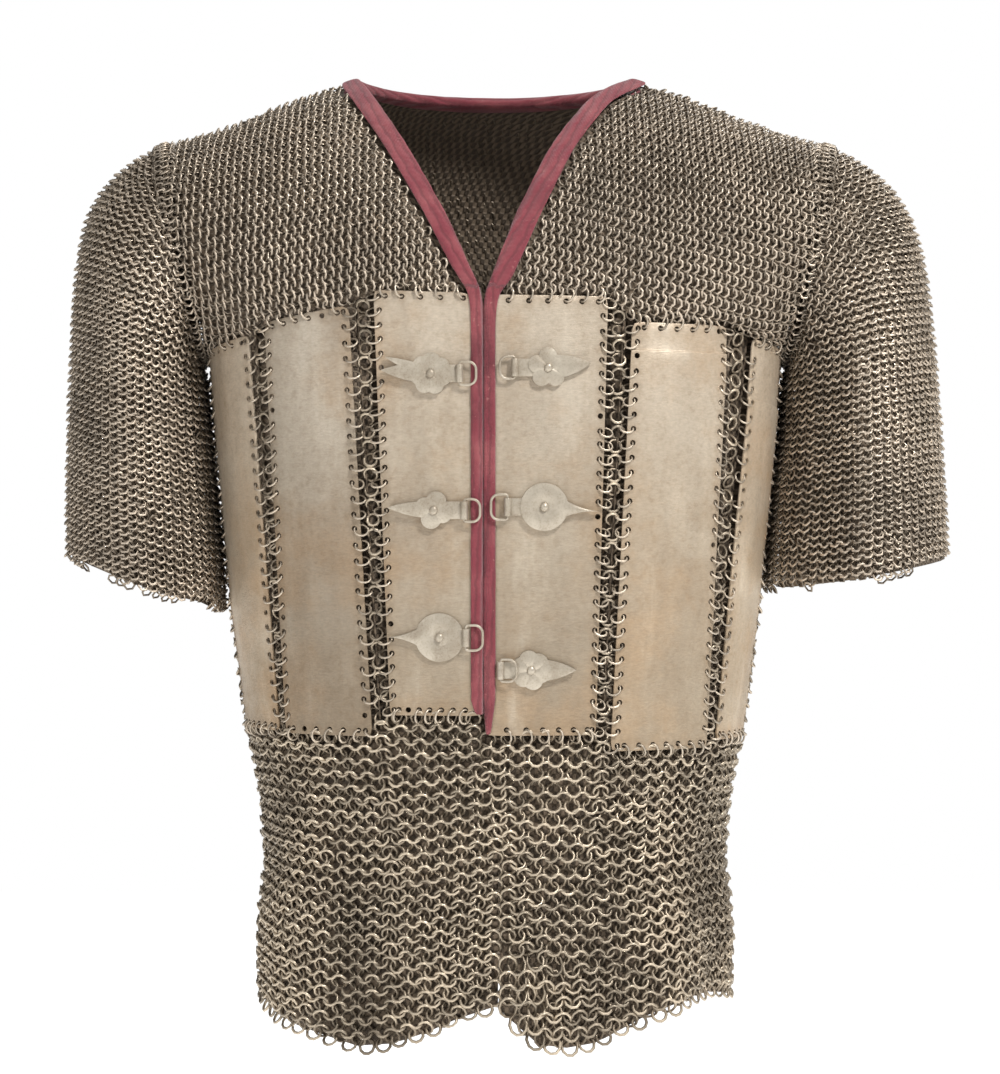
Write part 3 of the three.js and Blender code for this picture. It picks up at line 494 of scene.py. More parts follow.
def bodyNormal(angle, z):
    around = bodyPoint(np.asarray(angle) + 0.4, z) - bodyPoint(np.asarray(angle) - 0.4, z)
    up = bodyPoint(angle, np.asarray(z) + 0.002) - bodyPoint(angle, np.asarray(z) - 0.002)
    return unit(np.cross(around, up))


def angleAt(x, z):
    # angle of the body's section at one height where it is x off the middle
    half = np.interp(-z, -bodyRows[:, 0], bodyRows[:, 1])
    return math.copysign(math.degrees(math.asin(min(abs(x) / half, 0.999) ** (1 / bodyShape["power"]))), x)


def arcOf(points):
    # length walked along a line of points
    return np.concatenate([[0], np.cumsum(np.linalg.norm(np.diff(points, axis=0), axis=1))])


def alongArc(at, arc, values):
    return np.stack([np.interp(at, arc, values[:, k]) for k in range(3)], axis=1)


def evenAngles(z, start, end, step):
    # angles an even arc apart along the body's section at one height
    fine = np.linspace(start, end, 1200)
    arc = arcOf(bodyPoint(fine, z))
    count = max(2, int(round(arc[-1] / step)))
    return np.interp((np.arange(count) + 0.5) * arc[-1] / count, arc, fine)


def nodeTree(node):
    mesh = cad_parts[node].data
    return BVHTree.FromPolygons([v.co[:] for v in mesh.vertices], [p.vertices[:] for p in mesh.polygons])


def outerFace(node, outward):
    # the outer face of a wall alone, as an open mesh
    bm = bmesh.new()
    bm.from_mesh(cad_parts[node].data)
    bmesh.ops.remove_doubles(bm, verts=bm.verts, dist=1e-5)
    hidden = [face for face in bm.faces if face.normal.dot(outward(face.calc_center_median())) < 0.35]
    bmesh.ops.delete(bm, geom=hidden, context="FACES")
    loose = [vert for vert in bm.verts if not vert.link_faces]
    bmesh.ops.delete(bm, geom=loose, context="VERTS")
    bm.normal_update()
    return bm


def smoothCaster(node, outward):
    # ray casts that answer with the place and the smooth normal there
    bm = outerFace(node, outward)
    tree = BVHTree.FromBMesh(bm)
    corners = [[vert.co.copy() for vert in face.verts] for face in bm.faces]
    normals = [[vert.normal.copy() for vert in face.verts] for face in bm.faces]
    bm.free()

    def cast(origin, way, reach):
        place, _, face, _ = tree.ray_cast(origin, way, reach)
        if place is None:
            return None, None
        weights = poly_3d_calc(corners[face], place)
        normal = sum((n * w for n, w in zip(normals[face], weights)), Vector())
        return place, normal.normalized()

    return cast


# rings
def ringPiece(name, rings, look, material):
    # one joined mesh; each ring is a small torus with a tint and a crest value
    wire, around, across = look["wire"] / 2 * mm, look["around"], look["across"]
    centre = rings["centre"]
    count = len(centre)
    turn = np.arange(around) * 2 * np.pi / around
    twist = np.arange(across) * 2 * np.pi / across
    e1, e2 = rings["across"], rings["along"]
    axis = unit(np.cross(e1, e2))
    radial = e1[:, None, :] * np.cos(turn)[None, :, None] + e2[:, None, :] * np.sin(turn)[None, :, None]
    reach = (e1[:, None, :] * (np.cos(turn)[None, :] * rings["wide"][:, None])[:, :, None]
             + e2[:, None, :] * (np.sin(turn)[None, :] * rings["tall"][:, None])[:, :, None])
    tube = (radial[:, :, None, :] * np.cos(twist)[None, None, :, None]
            + axis[:, None, None, :] * np.sin(twist)[None, None, :, None]) * wire
    points = centre[:, None, None, :] + reach[:, :, None, :] + tube
    crest = np.einsum("nijk,nk->nij", reach[:, :, None, :] + tube, rings["normal"])
    crest = crest / (rings["wide"][:, None, None] * 0.75)
    first = (np.arange(count) * around * across)[:, None, None]
    i, j = np.meshgrid(np.arange(around), np.arange(across), indexing="ij")
    iNext, jNext = (i + 1) % around, (j + 1) % across
    quads = np.stack([first + i * across + j, first + iNext * across + j,
                      first + iNext * across + jNext, first + i * across + jNext], axis=-1).reshape(-1, 4)
    mesh = bpy.data.meshes.new(name)
    mesh.vertices.add(count * around * across)
    mesh.vertices.foreach_set("co", points.reshape(-1).astype(np.float32))
    mesh.loops.add(quads.size)
    mesh.loops.foreach_set("vertex_index", quads.reshape(-1).astype(np.int32))
    mesh.polygons.add(len(quads))
    mesh.polygons.foreach_set("loop_start", (np.arange(len(quads)) * 4).astype(np.int32))
    mesh.polygons.foreach_set("use_smooth", np.ones(len(quads), bool))
    mesh.update(calc_edges=True)
    tint = np.repeat(rings["tint"], around * across).astype(np.float32)
    for label, values in (("ringTint", tint), ("ringCrest", crest.reshape(-1).astype(np.float32))):
        mesh.attributes.new(label, "FLOAT", "POINT").data.foreach_set("value", values)
    mesh.materials.append(materials[material])
    piece = bpy.data.objects.new(name, mesh)
    bpy.context.scene.collection.objects.link(piece)
    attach(piece, "coat")
    print(f"{name}: {count} rings, {2 * len(quads)} triangles")
    return piece


# sizes of the nets' slow changes, per metre, and shares of a ring's tint
netNoise = {"patch": 17.0, "drift": 21.0, "patchTint": 0.4, "tintSpread": 0.2, "foldTint": 0.07}


def patches(points):
    # broad lighter and darker areas of a net
    return np.array([noise.noise(Vector(place) * netNoise["patch"]) for place in points])


def wander(points, normals, reach):
    # slow sideways drift of the rows, in the net's own surface
    drift = np.array([noise.noise_vector(Vector(place) * netNoise["drift"])[:] for place in points])
    drift = drift * reach * mm
    return drift - normals * np.sum(drift * normals, axis=1, keepdims=True)


def leaningRings(points, normals, rowWays, signs, look):
    # rings of one row lean along the row, those of the next row the other way
    count = len(points)
    lean = np.radians(look["lean"] + rng.normal(0, look["leanSpread"], count)) * signs
    yaw = rng.normal(0, math.radians(look["yaw"]), count)[:, None]
    along = unit(rowWays - normals * np.sum(rowWays * normals, axis=1, keepdims=True))
    across = np.cross(normals, along)
    turnedAlong = along * np.cos(yaw) + across * np.sin(yaw)
    turnedAcross = np.cross(normals, turnedAlong)
    leanedAlong = turnedAlong * np.cos(lean)[:, None] + normals * np.sin(lean)[:, None]
    size = 1 + rng.normal(0, look["sizeSpread"], count)
    radius = look["outer"] / 2 * mm - look["wire"] / 2 * mm
    jitter = rng.normal(0, look["jitter"] * mm, (count, 3))
    kept = rng.random(count) > look["missing"]
    # every second row stands out and is tinted brighter
    depth = (look["proud"] * signs - look["sink"]) * np.ones(count) * mm
    tint = rng.normal(0.5, netNoise["tintSpread"], count) + netNoise["patchTint"] * patches(points)
    rings = {
        "centre": points + normals * depth[:, None] + jitter + wander(points, normals, look["wander"]),
        "across": turnedAcross, "along": leanedAlong, "normal": normals,
        "wide": radius * size, "tall": radius * size * look["tall"],
        "tint": np.clip(tint + look["parity"] * signs, 0, 1)}
    return {key: value[kept] for key, value in rings.items()}


def joinRings(groups):
    return {key: np.concatenate([group[key] for group in groups]) for key in groups[0]}


def onNode(tree, points, normals, reach=0.02):
    return np.array([tree.ray_cast(Vector(p + n * reach), Vector(-n), 2 * reach)[0] is not None
                     for p, n in zip(points, normals)])


netEdge = {"wall": 0.5, "below": -0.29, "lift": 0.004, "tucked": "back_body"}


def netSheet(name, node, outward, depth):
    # inner layer of a net panel: the outer face of its wall, drawn in under the rings
    bm = outerFace(node, outward)
    drawn = {vert: vert.co - vert.normal * depth * mm for vert in bm.verts}
    for vert, place in drawn.items():
        # a low border stays hidden behind the last row of rings, the back's top one tucks under the yoke
        border = any(len(edge.link_faces) == 1 for edge in vert.link_edges)
        raised = border and (place.z < netEdge["below"] or node == netEdge["tucked"])
        vert.co = place + Vector((0.0, 0.0, netEdge["lift"] if raised else 0.0))
    piece = newPiece(name, bm)
    wall = piece.modifiers.new("wall", "SOLIDIFY")
    wall.thickness = netEdge["wall"] * mm
    wall.offset = -1.0
    piece.data.materials.append(materials["netInside"])
    shadeSmooth(piece, 60.0)
    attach(piece, "coat")
    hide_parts(node)
    return piece


def fromTorso(place):
    return Vector((place.x, place.y, 0.0)).normalized()


def fromChest(place):
    return Vector((0.0, place.y, place.z + 0.12)).normalized()


# coarse mail: front skirts and back body, with rows of rings running down
coarseNet = {"leanSpread": 6, "yaw": 7, "sizeSpread": 0.03, "jitter": 0.28, "wander": 2.2, "proud": 0.0,
             "parity": 0.0, "sink": 2.6, "tall": 1.0}
coarseMail = {
    "skirt": {**coarseNet, "outer": 11.0, "wire": 1.95, "pitch": 8.0, "column": 5.3, "lean": 27,
              "missing": 0.004, "around": 10, "across": 4, "netDepth": 5.6},
    "back": {**coarseNet, "outer": 11.6, "wire": 2.0, "pitch": 9.3, "column": 5.7, "lean": 28,
             "missing": 0.003, "around": 6, "across": 3, "netDepth": 4.6},
}
# columns nearly as tall as the others hold the same count of rings; shares are places down a column
hanging = {"heightStep": 0.0015, "nearlyFull": 0.88, "firstShare": 0.05, "lastShare": 0.99, "foldFade": 0.1}


def hangingRings(node, start, end, level, look, topZ, lowZ):
    tree = nodeTree(node)
    angles = evenAngles(level, start, end, look["column"] * mm)
    heights = np.arange(topZ, lowZ, -hanging["heightStep"])
    groups, spans = [], []
    for angle in angles:
        points = bodyPoint(angle, heights)
        hits = onNode(tree, points, bodyNormal(angle, heights))
        spans.append((heights[hits].max(), heights[hits].min()) if hits.any() else None)
    middle = np.mean([span[0] - span[1] for span in spans if span])
    for index, (angle, span) in enumerate(zip(angles, spans)):
        if span is None:
            continue
        odd = index % 2
        height = span[0] - span[1]
        full = height > hanging["nearlyFull"] * middle
        count = int(round((middle if full else height) / (look["pitch"] * mm)))
        share = (np.arange(count) + (0.5 if odd else hanging["firstShare"])) / max(count, 1)
        z = span[0] + (span[1] - span[0]) * share[share < hanging["lastShare"]]
        points, normals = bodyPoint(angle, z), bodyNormal(angle, z)
        inside = onNode(tree, points, normals)
        points, normals = points[inside], normals[inside]
        down = np.tile([0.0, 0.0, -1.0], (len(points), 1))
        group = leaningRings(points, normals, down, 1.0 if odd else -1.0, look)
        # folds catch the light, hollows between them stay dark
        low = np.clip((bodyShape["foldFrom"] - group["centre"][:, 2]) / hanging["foldFade"], 0, 1)
        group["tint"] = np.clip(group["tint"] + netNoise["foldTint"] * foldLift(angle) * low, 0, 1)
        groups.append(group)
    return loosenCorner(joinRings(groups)) if node == looseCorner["node"] else joinRings(groups)


looseCorner = {"node": "skirt_left", "reachX": 0.062, "belowZ": -0.54, "size": 1.16, "tall": 1.3,
               "dropped": 0.08}


def loosenCorner(rings):
    # larger, wider set rings at the lower front corner
    place = rings["centre"]
    loose = (place[:, 0] < looseCorner["reachX"]) & (place[:, 2] < looseCorner["belowZ"])
    rings["wide"][loose] *= looseCorner["size"]
    rings["tall"][loose] *= looseCorner["size"] * looseCorner["tall"]
    kept = ~(loose & (rng.random(len(loose)) < looseCorner["dropped"]))
    return {key: value[kept] for key, value in rings.items()}


def layNet(node, rings, look, material, outward):
    # rings and inner layer of one panel
    rings = ringPiece(f"rings_{node}", rings, look, material)
    sheet = netSheet(f"net_{node}", node, outward, look["netDepth"])


for side, sign in sides.items():
    node = f"skirt_{side}"
    look = coarseMail["skirt"]
    ends = sorted((-4.0 if sign > 0 else 1.5, sign * bodyShape["sideAngle"]))
    rings = hangingRings(node, *ends, -0.5, look, -0.385, -0.606)
    layNet(node, rings, look, "coarseRings", fromTorso)

look = coarseMail["back"]
rings = hangingRings("back_body", 80.0, 280.0, -0.4, look, -0.165, -0.585)
layNet("back_body", rings, look, "coarseRings", fromTorso)


# fine mail: yokes, with rows running out from the neck, and sleeves, with rows down the arm
fineNet = {"leanSpread": 5, "yaw": 5, "sizeSpread": 0.03, "jitter": 0.2, "wander": 1.5, "proud": 0.4,
           "parity": 0.28, "missing": 0.003, "sink": 1.4, "tall": 1.0, "across": 3, "netDepth": 2.9}
fineMail = {
    "yoke": {**fineNet, "outer": 8.1, "wire": 1.5, "pitch": 4.8, "column": 4.0, "slope": 0.3, "lean": 40,
             "around": 7},
    "back": {**fineNet, "outer": 7.7, "wire": 1.6, "pitch": 5.5, "column": 3.9, "slope": 0.3, "lean": 33,
             "around": 6},
    "sleeve": {**fineNet, "outer": 7.8, "wire": 1.5, "pitch": 5.0, "column": 3.95, "lean": 36, "around": 6,
               "girth": 0.41, "ease": 7.0, "easeFade": 0.015},
}
chestAxis = {"y": 0.0, "z": -0.12, "levelZ": -0.13, "reach": 0.26, "slopeX": 0.1, "bindingGap": 0.0026,
             "rowEnd": 0.0006}


def smoothAlong(values, width=5):
    # moving average along the first axis, ends kept
    padded = np.concatenate([values[:1].repeat(width // 2, 0), values, values[-1:].repeat(width // 2, 0)])
    return sum(padded[k:k + len(values)] for k in range(width)) / width


def clearOf(node, rings):
    # rings that would poke through the binding are left off
    tree = nodeTree(node)
    gap = chestAxis["bindingGap"]
    kept = np.array([tree.find_nearest(Vector(place))[3] > gap for place in rings["centre"]])
    return {key: value[kept] for key, value in rings.items()}


def shoulderRings(node, way, xs, look):
    # slices across the shoulder; each is walked from the chest or back up to the ridge
    cast = smoothCaster(node, fromChest)
    groups = []
    turns = np.radians(np.arange(-8.0, 150.0, 1.0))
    for index, x in enumerate(xs):
        points, normals = [], []
        for turn in turns:
            ray = Vector((0.0, way * math.sin(turn), math.cos(turn)))
            origin = Vector((x, chestAxis["y"], chestAxis["z"])) + ray * chestAxis["reach"]
            place, normal = cast(origin, -ray, chestAxis["reach"])
            if place is not None and normal.dot(ray) > 0.2:
                points.append(place[:])
                normals.append(normal[:])
        if len(points) < 4:
            continue
        points, normals = np.array(points), smoothAlong(np.array(normals), 9)
        arc = arcOf(points)
        level = arc[-1]
        if points[-1, 2] < chestAxis["levelZ"]:
            level = np.interp(-chestAxis["levelZ"], -points[:, 2], arc)
        step = look["column"] * mm
        odd = index % 2
        rows = np.arange(-80, 20)
        rows = rows[rows % 2 == odd]
        at = level + rows * step + look["slope"] * (abs(x) - chestAxis["slopeX"])
        at = at[(at > arc[0] + chestAxis["rowEnd"]) & (at < arc[-1] - chestAxis["rowEnd"])]
        if not len(at):
            continue
        place, normal = alongArc(at, arc, points), unit(alongArc(at, arc, normals))
        rowWay = np.tile([1.0, 0.0, -math.copysign(look["slope"], x)], (len(place), 1))
        groups.append(leaningRings(place, normal, rowWay, 1.0 if odd else -1.0, look))
    return joinRings(groups)


def layYoke(node, way, look, binding):
    low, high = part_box(node)
    xs = np.arange(low[0] + 0.0015, high[0] - 0.001, look["pitch"] * mm / 2)
    rings = clearOf(binding, shoulderRings(node, way, xs, look))
    layNet(node, rings, look, "fineRings", fromChest)


for side in sides:
    layYoke(f"yoke_{side}", -1.0, fineMail["yoke"], f"binding_{side}")
layYoke("back_yoke", 1.0, fineMail["back"], "binding_back")

# outer and inner points of the sleeves' guide rings, and half depth, from armhole to cuff
sleeveGuides = {
    "right": [(208, -42, 182.5, -179, 66), (228, -51, 184.5, -184, 69), (245, -66, 186, -190, 71),
              (257, -86, 186, -197, 72), (263, -112, 185, -208, 73), (266, -146, 183.5, -226, 74),
              (268, -190, 181, -254, 74), (270, -243, 178, -289, 75), (270, -302, 175, -333, 75)],
    "left": [(208, -42, 182.5, -179, 66), (229, -51, 184.5, -184, 69), (248, -66, 186, -190, 71),
             (262, -87, 186, -197, 72), (270, -113, 185, -207, 74), (275, -150, 183.5, -224, 75),
             (279, -195, 181, -250, 76), (283, -247, 177.5, -283, 77), (286, -305, 174, -323, 78)],
}


def sleeveGuide(side, share):
    rows = np.array(sleeveGuides[side]) * mm
    at = np.linspace(0, 1, len(rows))
    outX, outZ, inX, inZ, deep = (np.interp(share, at, rows[:, k]) for k in range(5))
    sign = sides[side]
    centre = Vector((sign * (outX + inX) / 2, 0.0025, (outZ + inZ) / 2))
    reach = Vector((sign * (outX - inX) / 2, 0.0, (outZ - inZ) / 2))
    return centre, reach, deep


def fromSleeve(side):
    guides = [sleeveGuide(side, share)[0] for share in np.linspace(0, 1, 30)]

    def outward(place):
        nearest = min(guides, key=lambda centre: (centre - place).length)
        return (place - nearest).normalized()

    return outward


def sleeveRingSet(side, look):
    node = f"sleeve_{side}"
    cast = smoothCaster(node, fromSleeve(side))
    shares = np.linspace(1.0, 0.0, 90)
    columns = 2 * int(round(look["girth"] / (2 * look["column"] * mm)))
    groups = []
    guides = [sleeveGuide(side, share) for share in shares]
    for index in range(columns):
        turn = 2 * math.pi * index / columns
        points, normals = [], []
        for centre, reach, deep in guides:
            ray = reach * math.cos(turn) + Vector((0.0, -deep * math.sin(turn), 0.0))
            place, normal = cast(centre + ray * 1.5, -ray.normalized(), ray.length * 1.5)
            if place is not None:
                points.append(place[:])
                normals.append(normal[:])
        points, normals = np.array(points), smoothAlong(np.array(normals), 9)
        arc = arcOf(points)
        odd = index % 2
        pitch = look["pitch"] * mm
        at = np.arange(0.002 + (0.5 * pitch if odd else 0.0), arc[-1] - 0.001, pitch)
        place, normal = alongArc(at, arc, points), unit(alongArc(at, arc, normals))
        rowWay = unit(alongArc(at, arc, np.gradient(points, axis=0)))
        # the side next to the body stands nearer to it, so that no gap is left under the arm
        inner = max(0.0, -math.cos(turn)) ** 2
        ease = look["ease"] * mm * inner * np.clip((arc[-1] - at) / look["easeFade"], 0, 1)
        place = place + normal * ease[:, None]
        groups.append(leaningRings(place, normal, -rowWay, 1.0 if odd else -1.0, look))
    return joinRings(groups)


# rows of rings that close the seam round each armhole
armhole = {"centre": (195.25, 2.5, -110.5), "reach": (12.75, 0.0, 68.5), "deep": 66.0, "girth": 425.0,
           "rows": (-4.2, -0.3, 3.6), "lift": 0.6, "flare": 0.3}


def armholeRings(side, look):
    sign = sides[side]
    count = 2 * int(round(0.5 * armhole["girth"] / look["pitch"]))
    groups = []
    for index, shift in enumerate(armhole["rows"]):
        turn = (np.arange(count) + 0.5 * (index % 2)) * 2 * np.pi / count
        centre, reach = np.array(armhole["centre"]), np.array(armhole["reach"])
        ways = np.stack([0 * turn, -np.sin(turn), np.cos(turn)], axis=1)
        deep = np.array([0.0, -armhole["deep"], 0.0])
        place = centre + reach * np.cos(turn)[:, None] + deep * np.sin(turn)[:, None]
        place = place + ways * armhole["lift"] + np.array([shift, 0.0, 0.0])
        along = np.roll(place, -1, axis=0) - np.roll(place, 1, axis=0)
        normal = unit(ways + np.array([armhole["flare"], 0.0, 0.0]))
        mirror = np.array([sign, 1.0, 1.0])
        groups.append(leaningRings(place * mirror * mm, normal * mirror, unit(along * mirror),
                                   1.0 if index % 2 else -1.0, look))
    return joinRings(groups)


for side in sides:
    node = f"sleeve_{side}"
    look = fineMail["sleeve"]
    rings = joinRings([sleeveRingSet(side, look), armholeRings(side, look)])
    layNet(node, rings, look, "fineRings", fromSleeve(side))
print("mail made")


# plates, worked out between their long edges, with punched holes along every border
plateEdges = {
    # across at the top and bottom, and the heights of the plates' tops and bottoms there
    "right": [(9.6, 9.6, -139, -393), (73, 63, -137, -393), (88, 74, -146, -406),
              (141, 128, -156, -406), (152, 132, -163, -405), (None, None, -173, -405)],
    "left": [(-4.4, -4.4, -140, -405), (68, 61, -141, -405), (83, 70, -156, -415),
             (142, 130, -158, -415), (160, 136, -165, -411), (None, None, -172, -411)],
}
plateLook = {
    "edgeTop": -0.140, "edgeBottom": -0.405, "wall": 1.5, "seam": 0.15, "columns": 16, "rows": 52,
    "rim": 0.4, "holeRadius": 1.75, "holeInset": 3.6, "holeJitter": 0.25, "dent": 0.35, "dentSize": 28.0,
    "seat": 0.1, "lapRise": 1.0, "lapGap": 0.0012, "lapFade": 0.4,
}
plates = {
    # hole pitch on each border, corner radii (near top, far top, near low, far low), a lap's place and a
    # brightness, partly the plate's own tone and partly painted light for how brightly it is lit
    "plate_front_right": {"first": 0, "near": 0, "far": 8.5, "top": 11.0, "low": 7.6,
                          "corners": (9, 3, 1, 3), "lap": None, "toneAndLight": 0.98},
    "plate_middle_right": {"first": 2, "near": 9.2, "far": 8.6, "top": 9.5, "low": 8.5,
                           "corners": (5, 5, 3, 3), "lap": None, "toneAndLight": 0.8},
    "plate_side_right": {"first": 4, "near": 8.6, "far": 8.6, "top": 9.5, "low": 9.0,
                         "corners": (3, 3, 3, 3), "lap": None, "toneAndLight": 1.2},
    "plate_front_left": {"first": 0, "near": 0, "far": 8.5, "top": 10.0, "low": 11.0,
                         "corners": (2, 4, 1, 3), "lap": None, "toneAndLight": 0.97},
    "plate_middle_left": {"first": 2, "near": 8.6, "far": 8.6, "top": 9.5, "low": 9.0,
                          "corners": (4, 4, 3, 3), "lap": 0.065, "toneAndLight": 1.1},
    "plate_side_left": {"first": 4, "near": 8.6, "far": 8.6, "top": 9.5, "low": 9.0,
                        "corners": (3, 3, 3, 3), "lap": 0.15, "toneAndLight": 1.4},
}


def edgeAngle(side, index, z):
    top, bottom = plateEdges[side][index][:2]
    if top is None:
        return sides[side] * bodyShape["sideAngle"]
    share = (z - plateLook["edgeTop"]) / (plateLook["edgeBottom"] - plateLook["edgeTop"])
    x = sides[side] * (top + (bottom - top) * share) * mm
    return angleAt(x, z)


def platePlace(side, first, across, down):
    near, far = plateEdges[side][first:first + 2]
    nearZ = (near[2] + (near[3] - near[2]) * down) * mm
    farZ = (far[2] + (far[3] - far[2]) * down) * mm
    start, end = edgeAngle(side, first, nearZ), edgeAngle(side, first + 1, farZ)
    return start + (end - start) * across, nearZ + (farZ - nearZ) * across


def plateSize(side, first):
    corner = [bodyPoint(*platePlace(side, first, u, v)) for u, v in ((0, 0.5), (1, 0.5), (0.5, 0), (0.5, 1))]
    return np.linalg.norm(corner[1] - corner[0]), np.linalg.norm(corner[3] - corner[2])


def squareToRound(a, b):
    # corner share of a border square, drawn in to a quarter circle
    reach = max(a, b)
    length = math.hypot(a, b)
    return (a * reach / length, b * reach / length) if length > 0 else (a, b)


def roundCorners(u, v, width, length, radii):
    a, b = u * width, v * length
    nearSide, topSide = a < width / 2, b < length / 2
    radius = radii[(0 if topSide else 2) + (0 if nearSide else 1)] * mm
    fromA = a if nearSide else width - a
    fromB = b if topSide else length - b
    if fromA < radius and fromB < radius:
        p, q = squareToRound(radius - fromA, radius - fromB)
        fromA, fromB = radius - p, radius - q
    a = fromA if nearSide else width - fromA
    b = fromB if topSide else length - fromB
    return a / width, b / length


def borderHoles(row, width, length):
    # (across, down, way out of the border, way along it) of every hole
    inset = plateLook["holeInset"] * mm
    holes = []
    for border, span, fixed, out, along in (
            ("near", length, inset / width, (-1, 0), (0, 1)),
            ("far", length, 1 - inset / width, (1, 0), (0, 1)),
            ("top", width, inset / length, (0, -1), (1, 0)),
            ("low", width, 1 - inset / length, (0, 1), (1, 0))):
        if not row[border]:
            continue
        skip = 2 * inset if border in ("top", "low") else inset
        count = int(round((span - 2 * skip) / (row[border] * mm)))
        for share in (skip + (span - 2 * skip) * (np.arange(count + 1) / count)) / span:
            at = share + rng.normal(0, plateLook["holeJitter"] * mm) / span
            place = (fixed, at) if border in ("near", "far") else (at, fixed)
            holes.append({"place": place, "out": out, "along": along})
    return holes


def onPlate(side, first, u, v):
    angle, z = platePlace(side, first, u, v)
    return bodyPoint(angle, z), bodyNormal(angle, z)


def surfaceWay(side, first, u, v, way, width, length):
    step = 0.001
    start = onPlate(side, first, u, v)[0]
    end = onPlate(side, first, u + way[0] * step / width, v + way[1] * step / length)[0]
    return unit(end - start)


def snapToLap(v, lap):
    # two rows of the grid close in on the lap, so that its step is sharp
    line = v * plateLook["rows"] - round(lap * plateLook["rows"])
    if abs(line) < 0.01:
        return lap - plateLook["lapGap"]
    return lap + plateLook["lapGap"] if abs(line - 1) < 0.01 else v


def makePlate(node, row):
    side = node.rsplit("_", 1)[1]
    first = row["first"]
    width, length = plateSize(side, first)
    bm = bmesh.new()
    bmesh.ops.create_grid(bm, x_segments=plateLook["columns"], y_segments=plateLook["rows"], size=1.0)
    border = []
    for vert in bm.verts:
        u, v = (vert.co.x + 1) / 2, (1 - vert.co.y) / 2
        onBorder = min(u, 1 - u, v, 1 - v) < 1e-4
        if row["lap"]:
            v = snapToLap(v, row["lap"])
        u, v = roundCorners(u, v, width, length, row["corners"])
        margin = plateLook["seam"] * mm
        u = margin / width + u * (1 - 2 * margin / width)
        v = margin / length + v * (1 - 2 * margin / length)
        place, normal = onPlate(side, first, u, v)
        dent = noise.noise(Vector(place) * plateLook["dentSize"]) * plateLook["dent"] * mm
        if row["lap"] and v > row["lap"]:
            dent += plateLook["lapRise"] * mm * max(0.0, 1 - (v - row["lap"]) / plateLook["lapFade"])
        vert.co = Vector(place + normal * (dent - plateLook["seat"] * mm))
        if onBorder:
            border.append(vert.co.copy())
    bm.normal_update()
    bm.faces.ensure_lookup_table()
    middle = bm.faces[len(bm.faces) // 2]
    if middle.normal.dot(fromTorso(middle.calc_center_median())) < 0:
        bmesh.ops.reverse_faces(bm, faces=bm.faces)
    plate = newPiece(node.replace("plate", "ironPlate"), bm)
    wall = plate.modifiers.new("wall", "SOLIDIFY")
    wall.thickness = plateLook["wall"] * mm
    wall.offset = -1.0
    rim = plate.modifiers.new("rim", "BEVEL")
    rim.width = plateLook["rim"] * mm
    rim.segments = 2
    rim.limit_method = "ANGLE"
    rim.angle_limit = math.radians(50.0)
    holes = borderHoles(row, width, length)
    punch = bmesh.new()
    centres = []
    for hole in holes:
        place, normal = onPlate(side, first, *hole["place"])
        turn = Vector(normal).to_track_quat("Z", "Y").to_matrix().to_4x4()
        turn.translation = Vector(place)
        bmesh.ops.create_cone(punch, cap_ends=True, segments=10, radius1=plateLook["holeRadius"] * mm,
                              radius2=plateLook["holeRadius"] * mm, depth=0.008, matrix=turn)
        centres.append(place)
    cutter = newPiece("punch", punch)
    cut = plate.modifiers.new("holes", "BOOLEAN")
    cut.object = cutter
    cut.solver = "MANIFOLD"
    bakeModifiers(plate)
    bpy.data.objects.remove(cutter)
    shadeRim(plate, np.array(centres), np.array(border), row["toneAndLight"])
    plate.data.materials.clear()
    plate.data.materials.append(materials["plates"])
    shadeSmooth(plate, 35.0)
    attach(plate, "coat")
    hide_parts(node)
    linkGroups.append(plateLinks(side, first, holes, width, length))


def bakeModifiers(piece):
    bpy.context.view_layer.update()
    graph = bpy.context.evaluated_depsgraph_get()
    mesh = bpy.data.meshes.new_from_object(piece.evaluated_get(graph))
    piece.modifiers.clear()
    piece.data = mesh


def shadeRim(piece, holes, border, toneAndLight):
    points = np.empty(len(piece.data.vertices) * 3, np.float32)
    piece.data.vertices.foreach_get("co", points)
    points = points.reshape(-1, 3)
    fromHole = np.linalg.norm(points[:, None, :] - holes[None], axis=2).min(axis=1)
    fromBorder = np.linalg.norm(points[:, None, :] - border[None], axis=2).min(axis=1)
    # painted shade: darker close to the holes and the borders
    wearAndPaintedLight = 0.7 * np.exp(-np.maximum(fromHole - 0.0016, 0) / 0.0013) + 0.5 * np.exp(-fromBorder / 0.0016)
    layer = piece.data.attributes.new("rimShade", "FLOAT", "POINT")
    layer.data.foreach_set("value", np.clip(wearAndPaintedLight, 0, 1).astype(np.float32))
    layer = piece.data.attributes.new("plateToneAndLight", "FLOAT", "POINT")
    layer.data.foreach_set("value", np.full(len(points), toneAndLight, np.float32))


# link rings, one through every hole, hooked over the plate's border
linkLook = {"outer": 9.8, "wire": 1.5, "slant": 48.0, "slantSpread": 9.0, "around": 12, "across": 4,
            "sink": 0.9, "skipped": 0.06, "drift": 0.18, "driftSpread": 0.14, "sizeSpread": 0.05, "reach": 0.94,
            "squeeze": 0.8, "tint": 0.6, "tintSpread": 0.2}


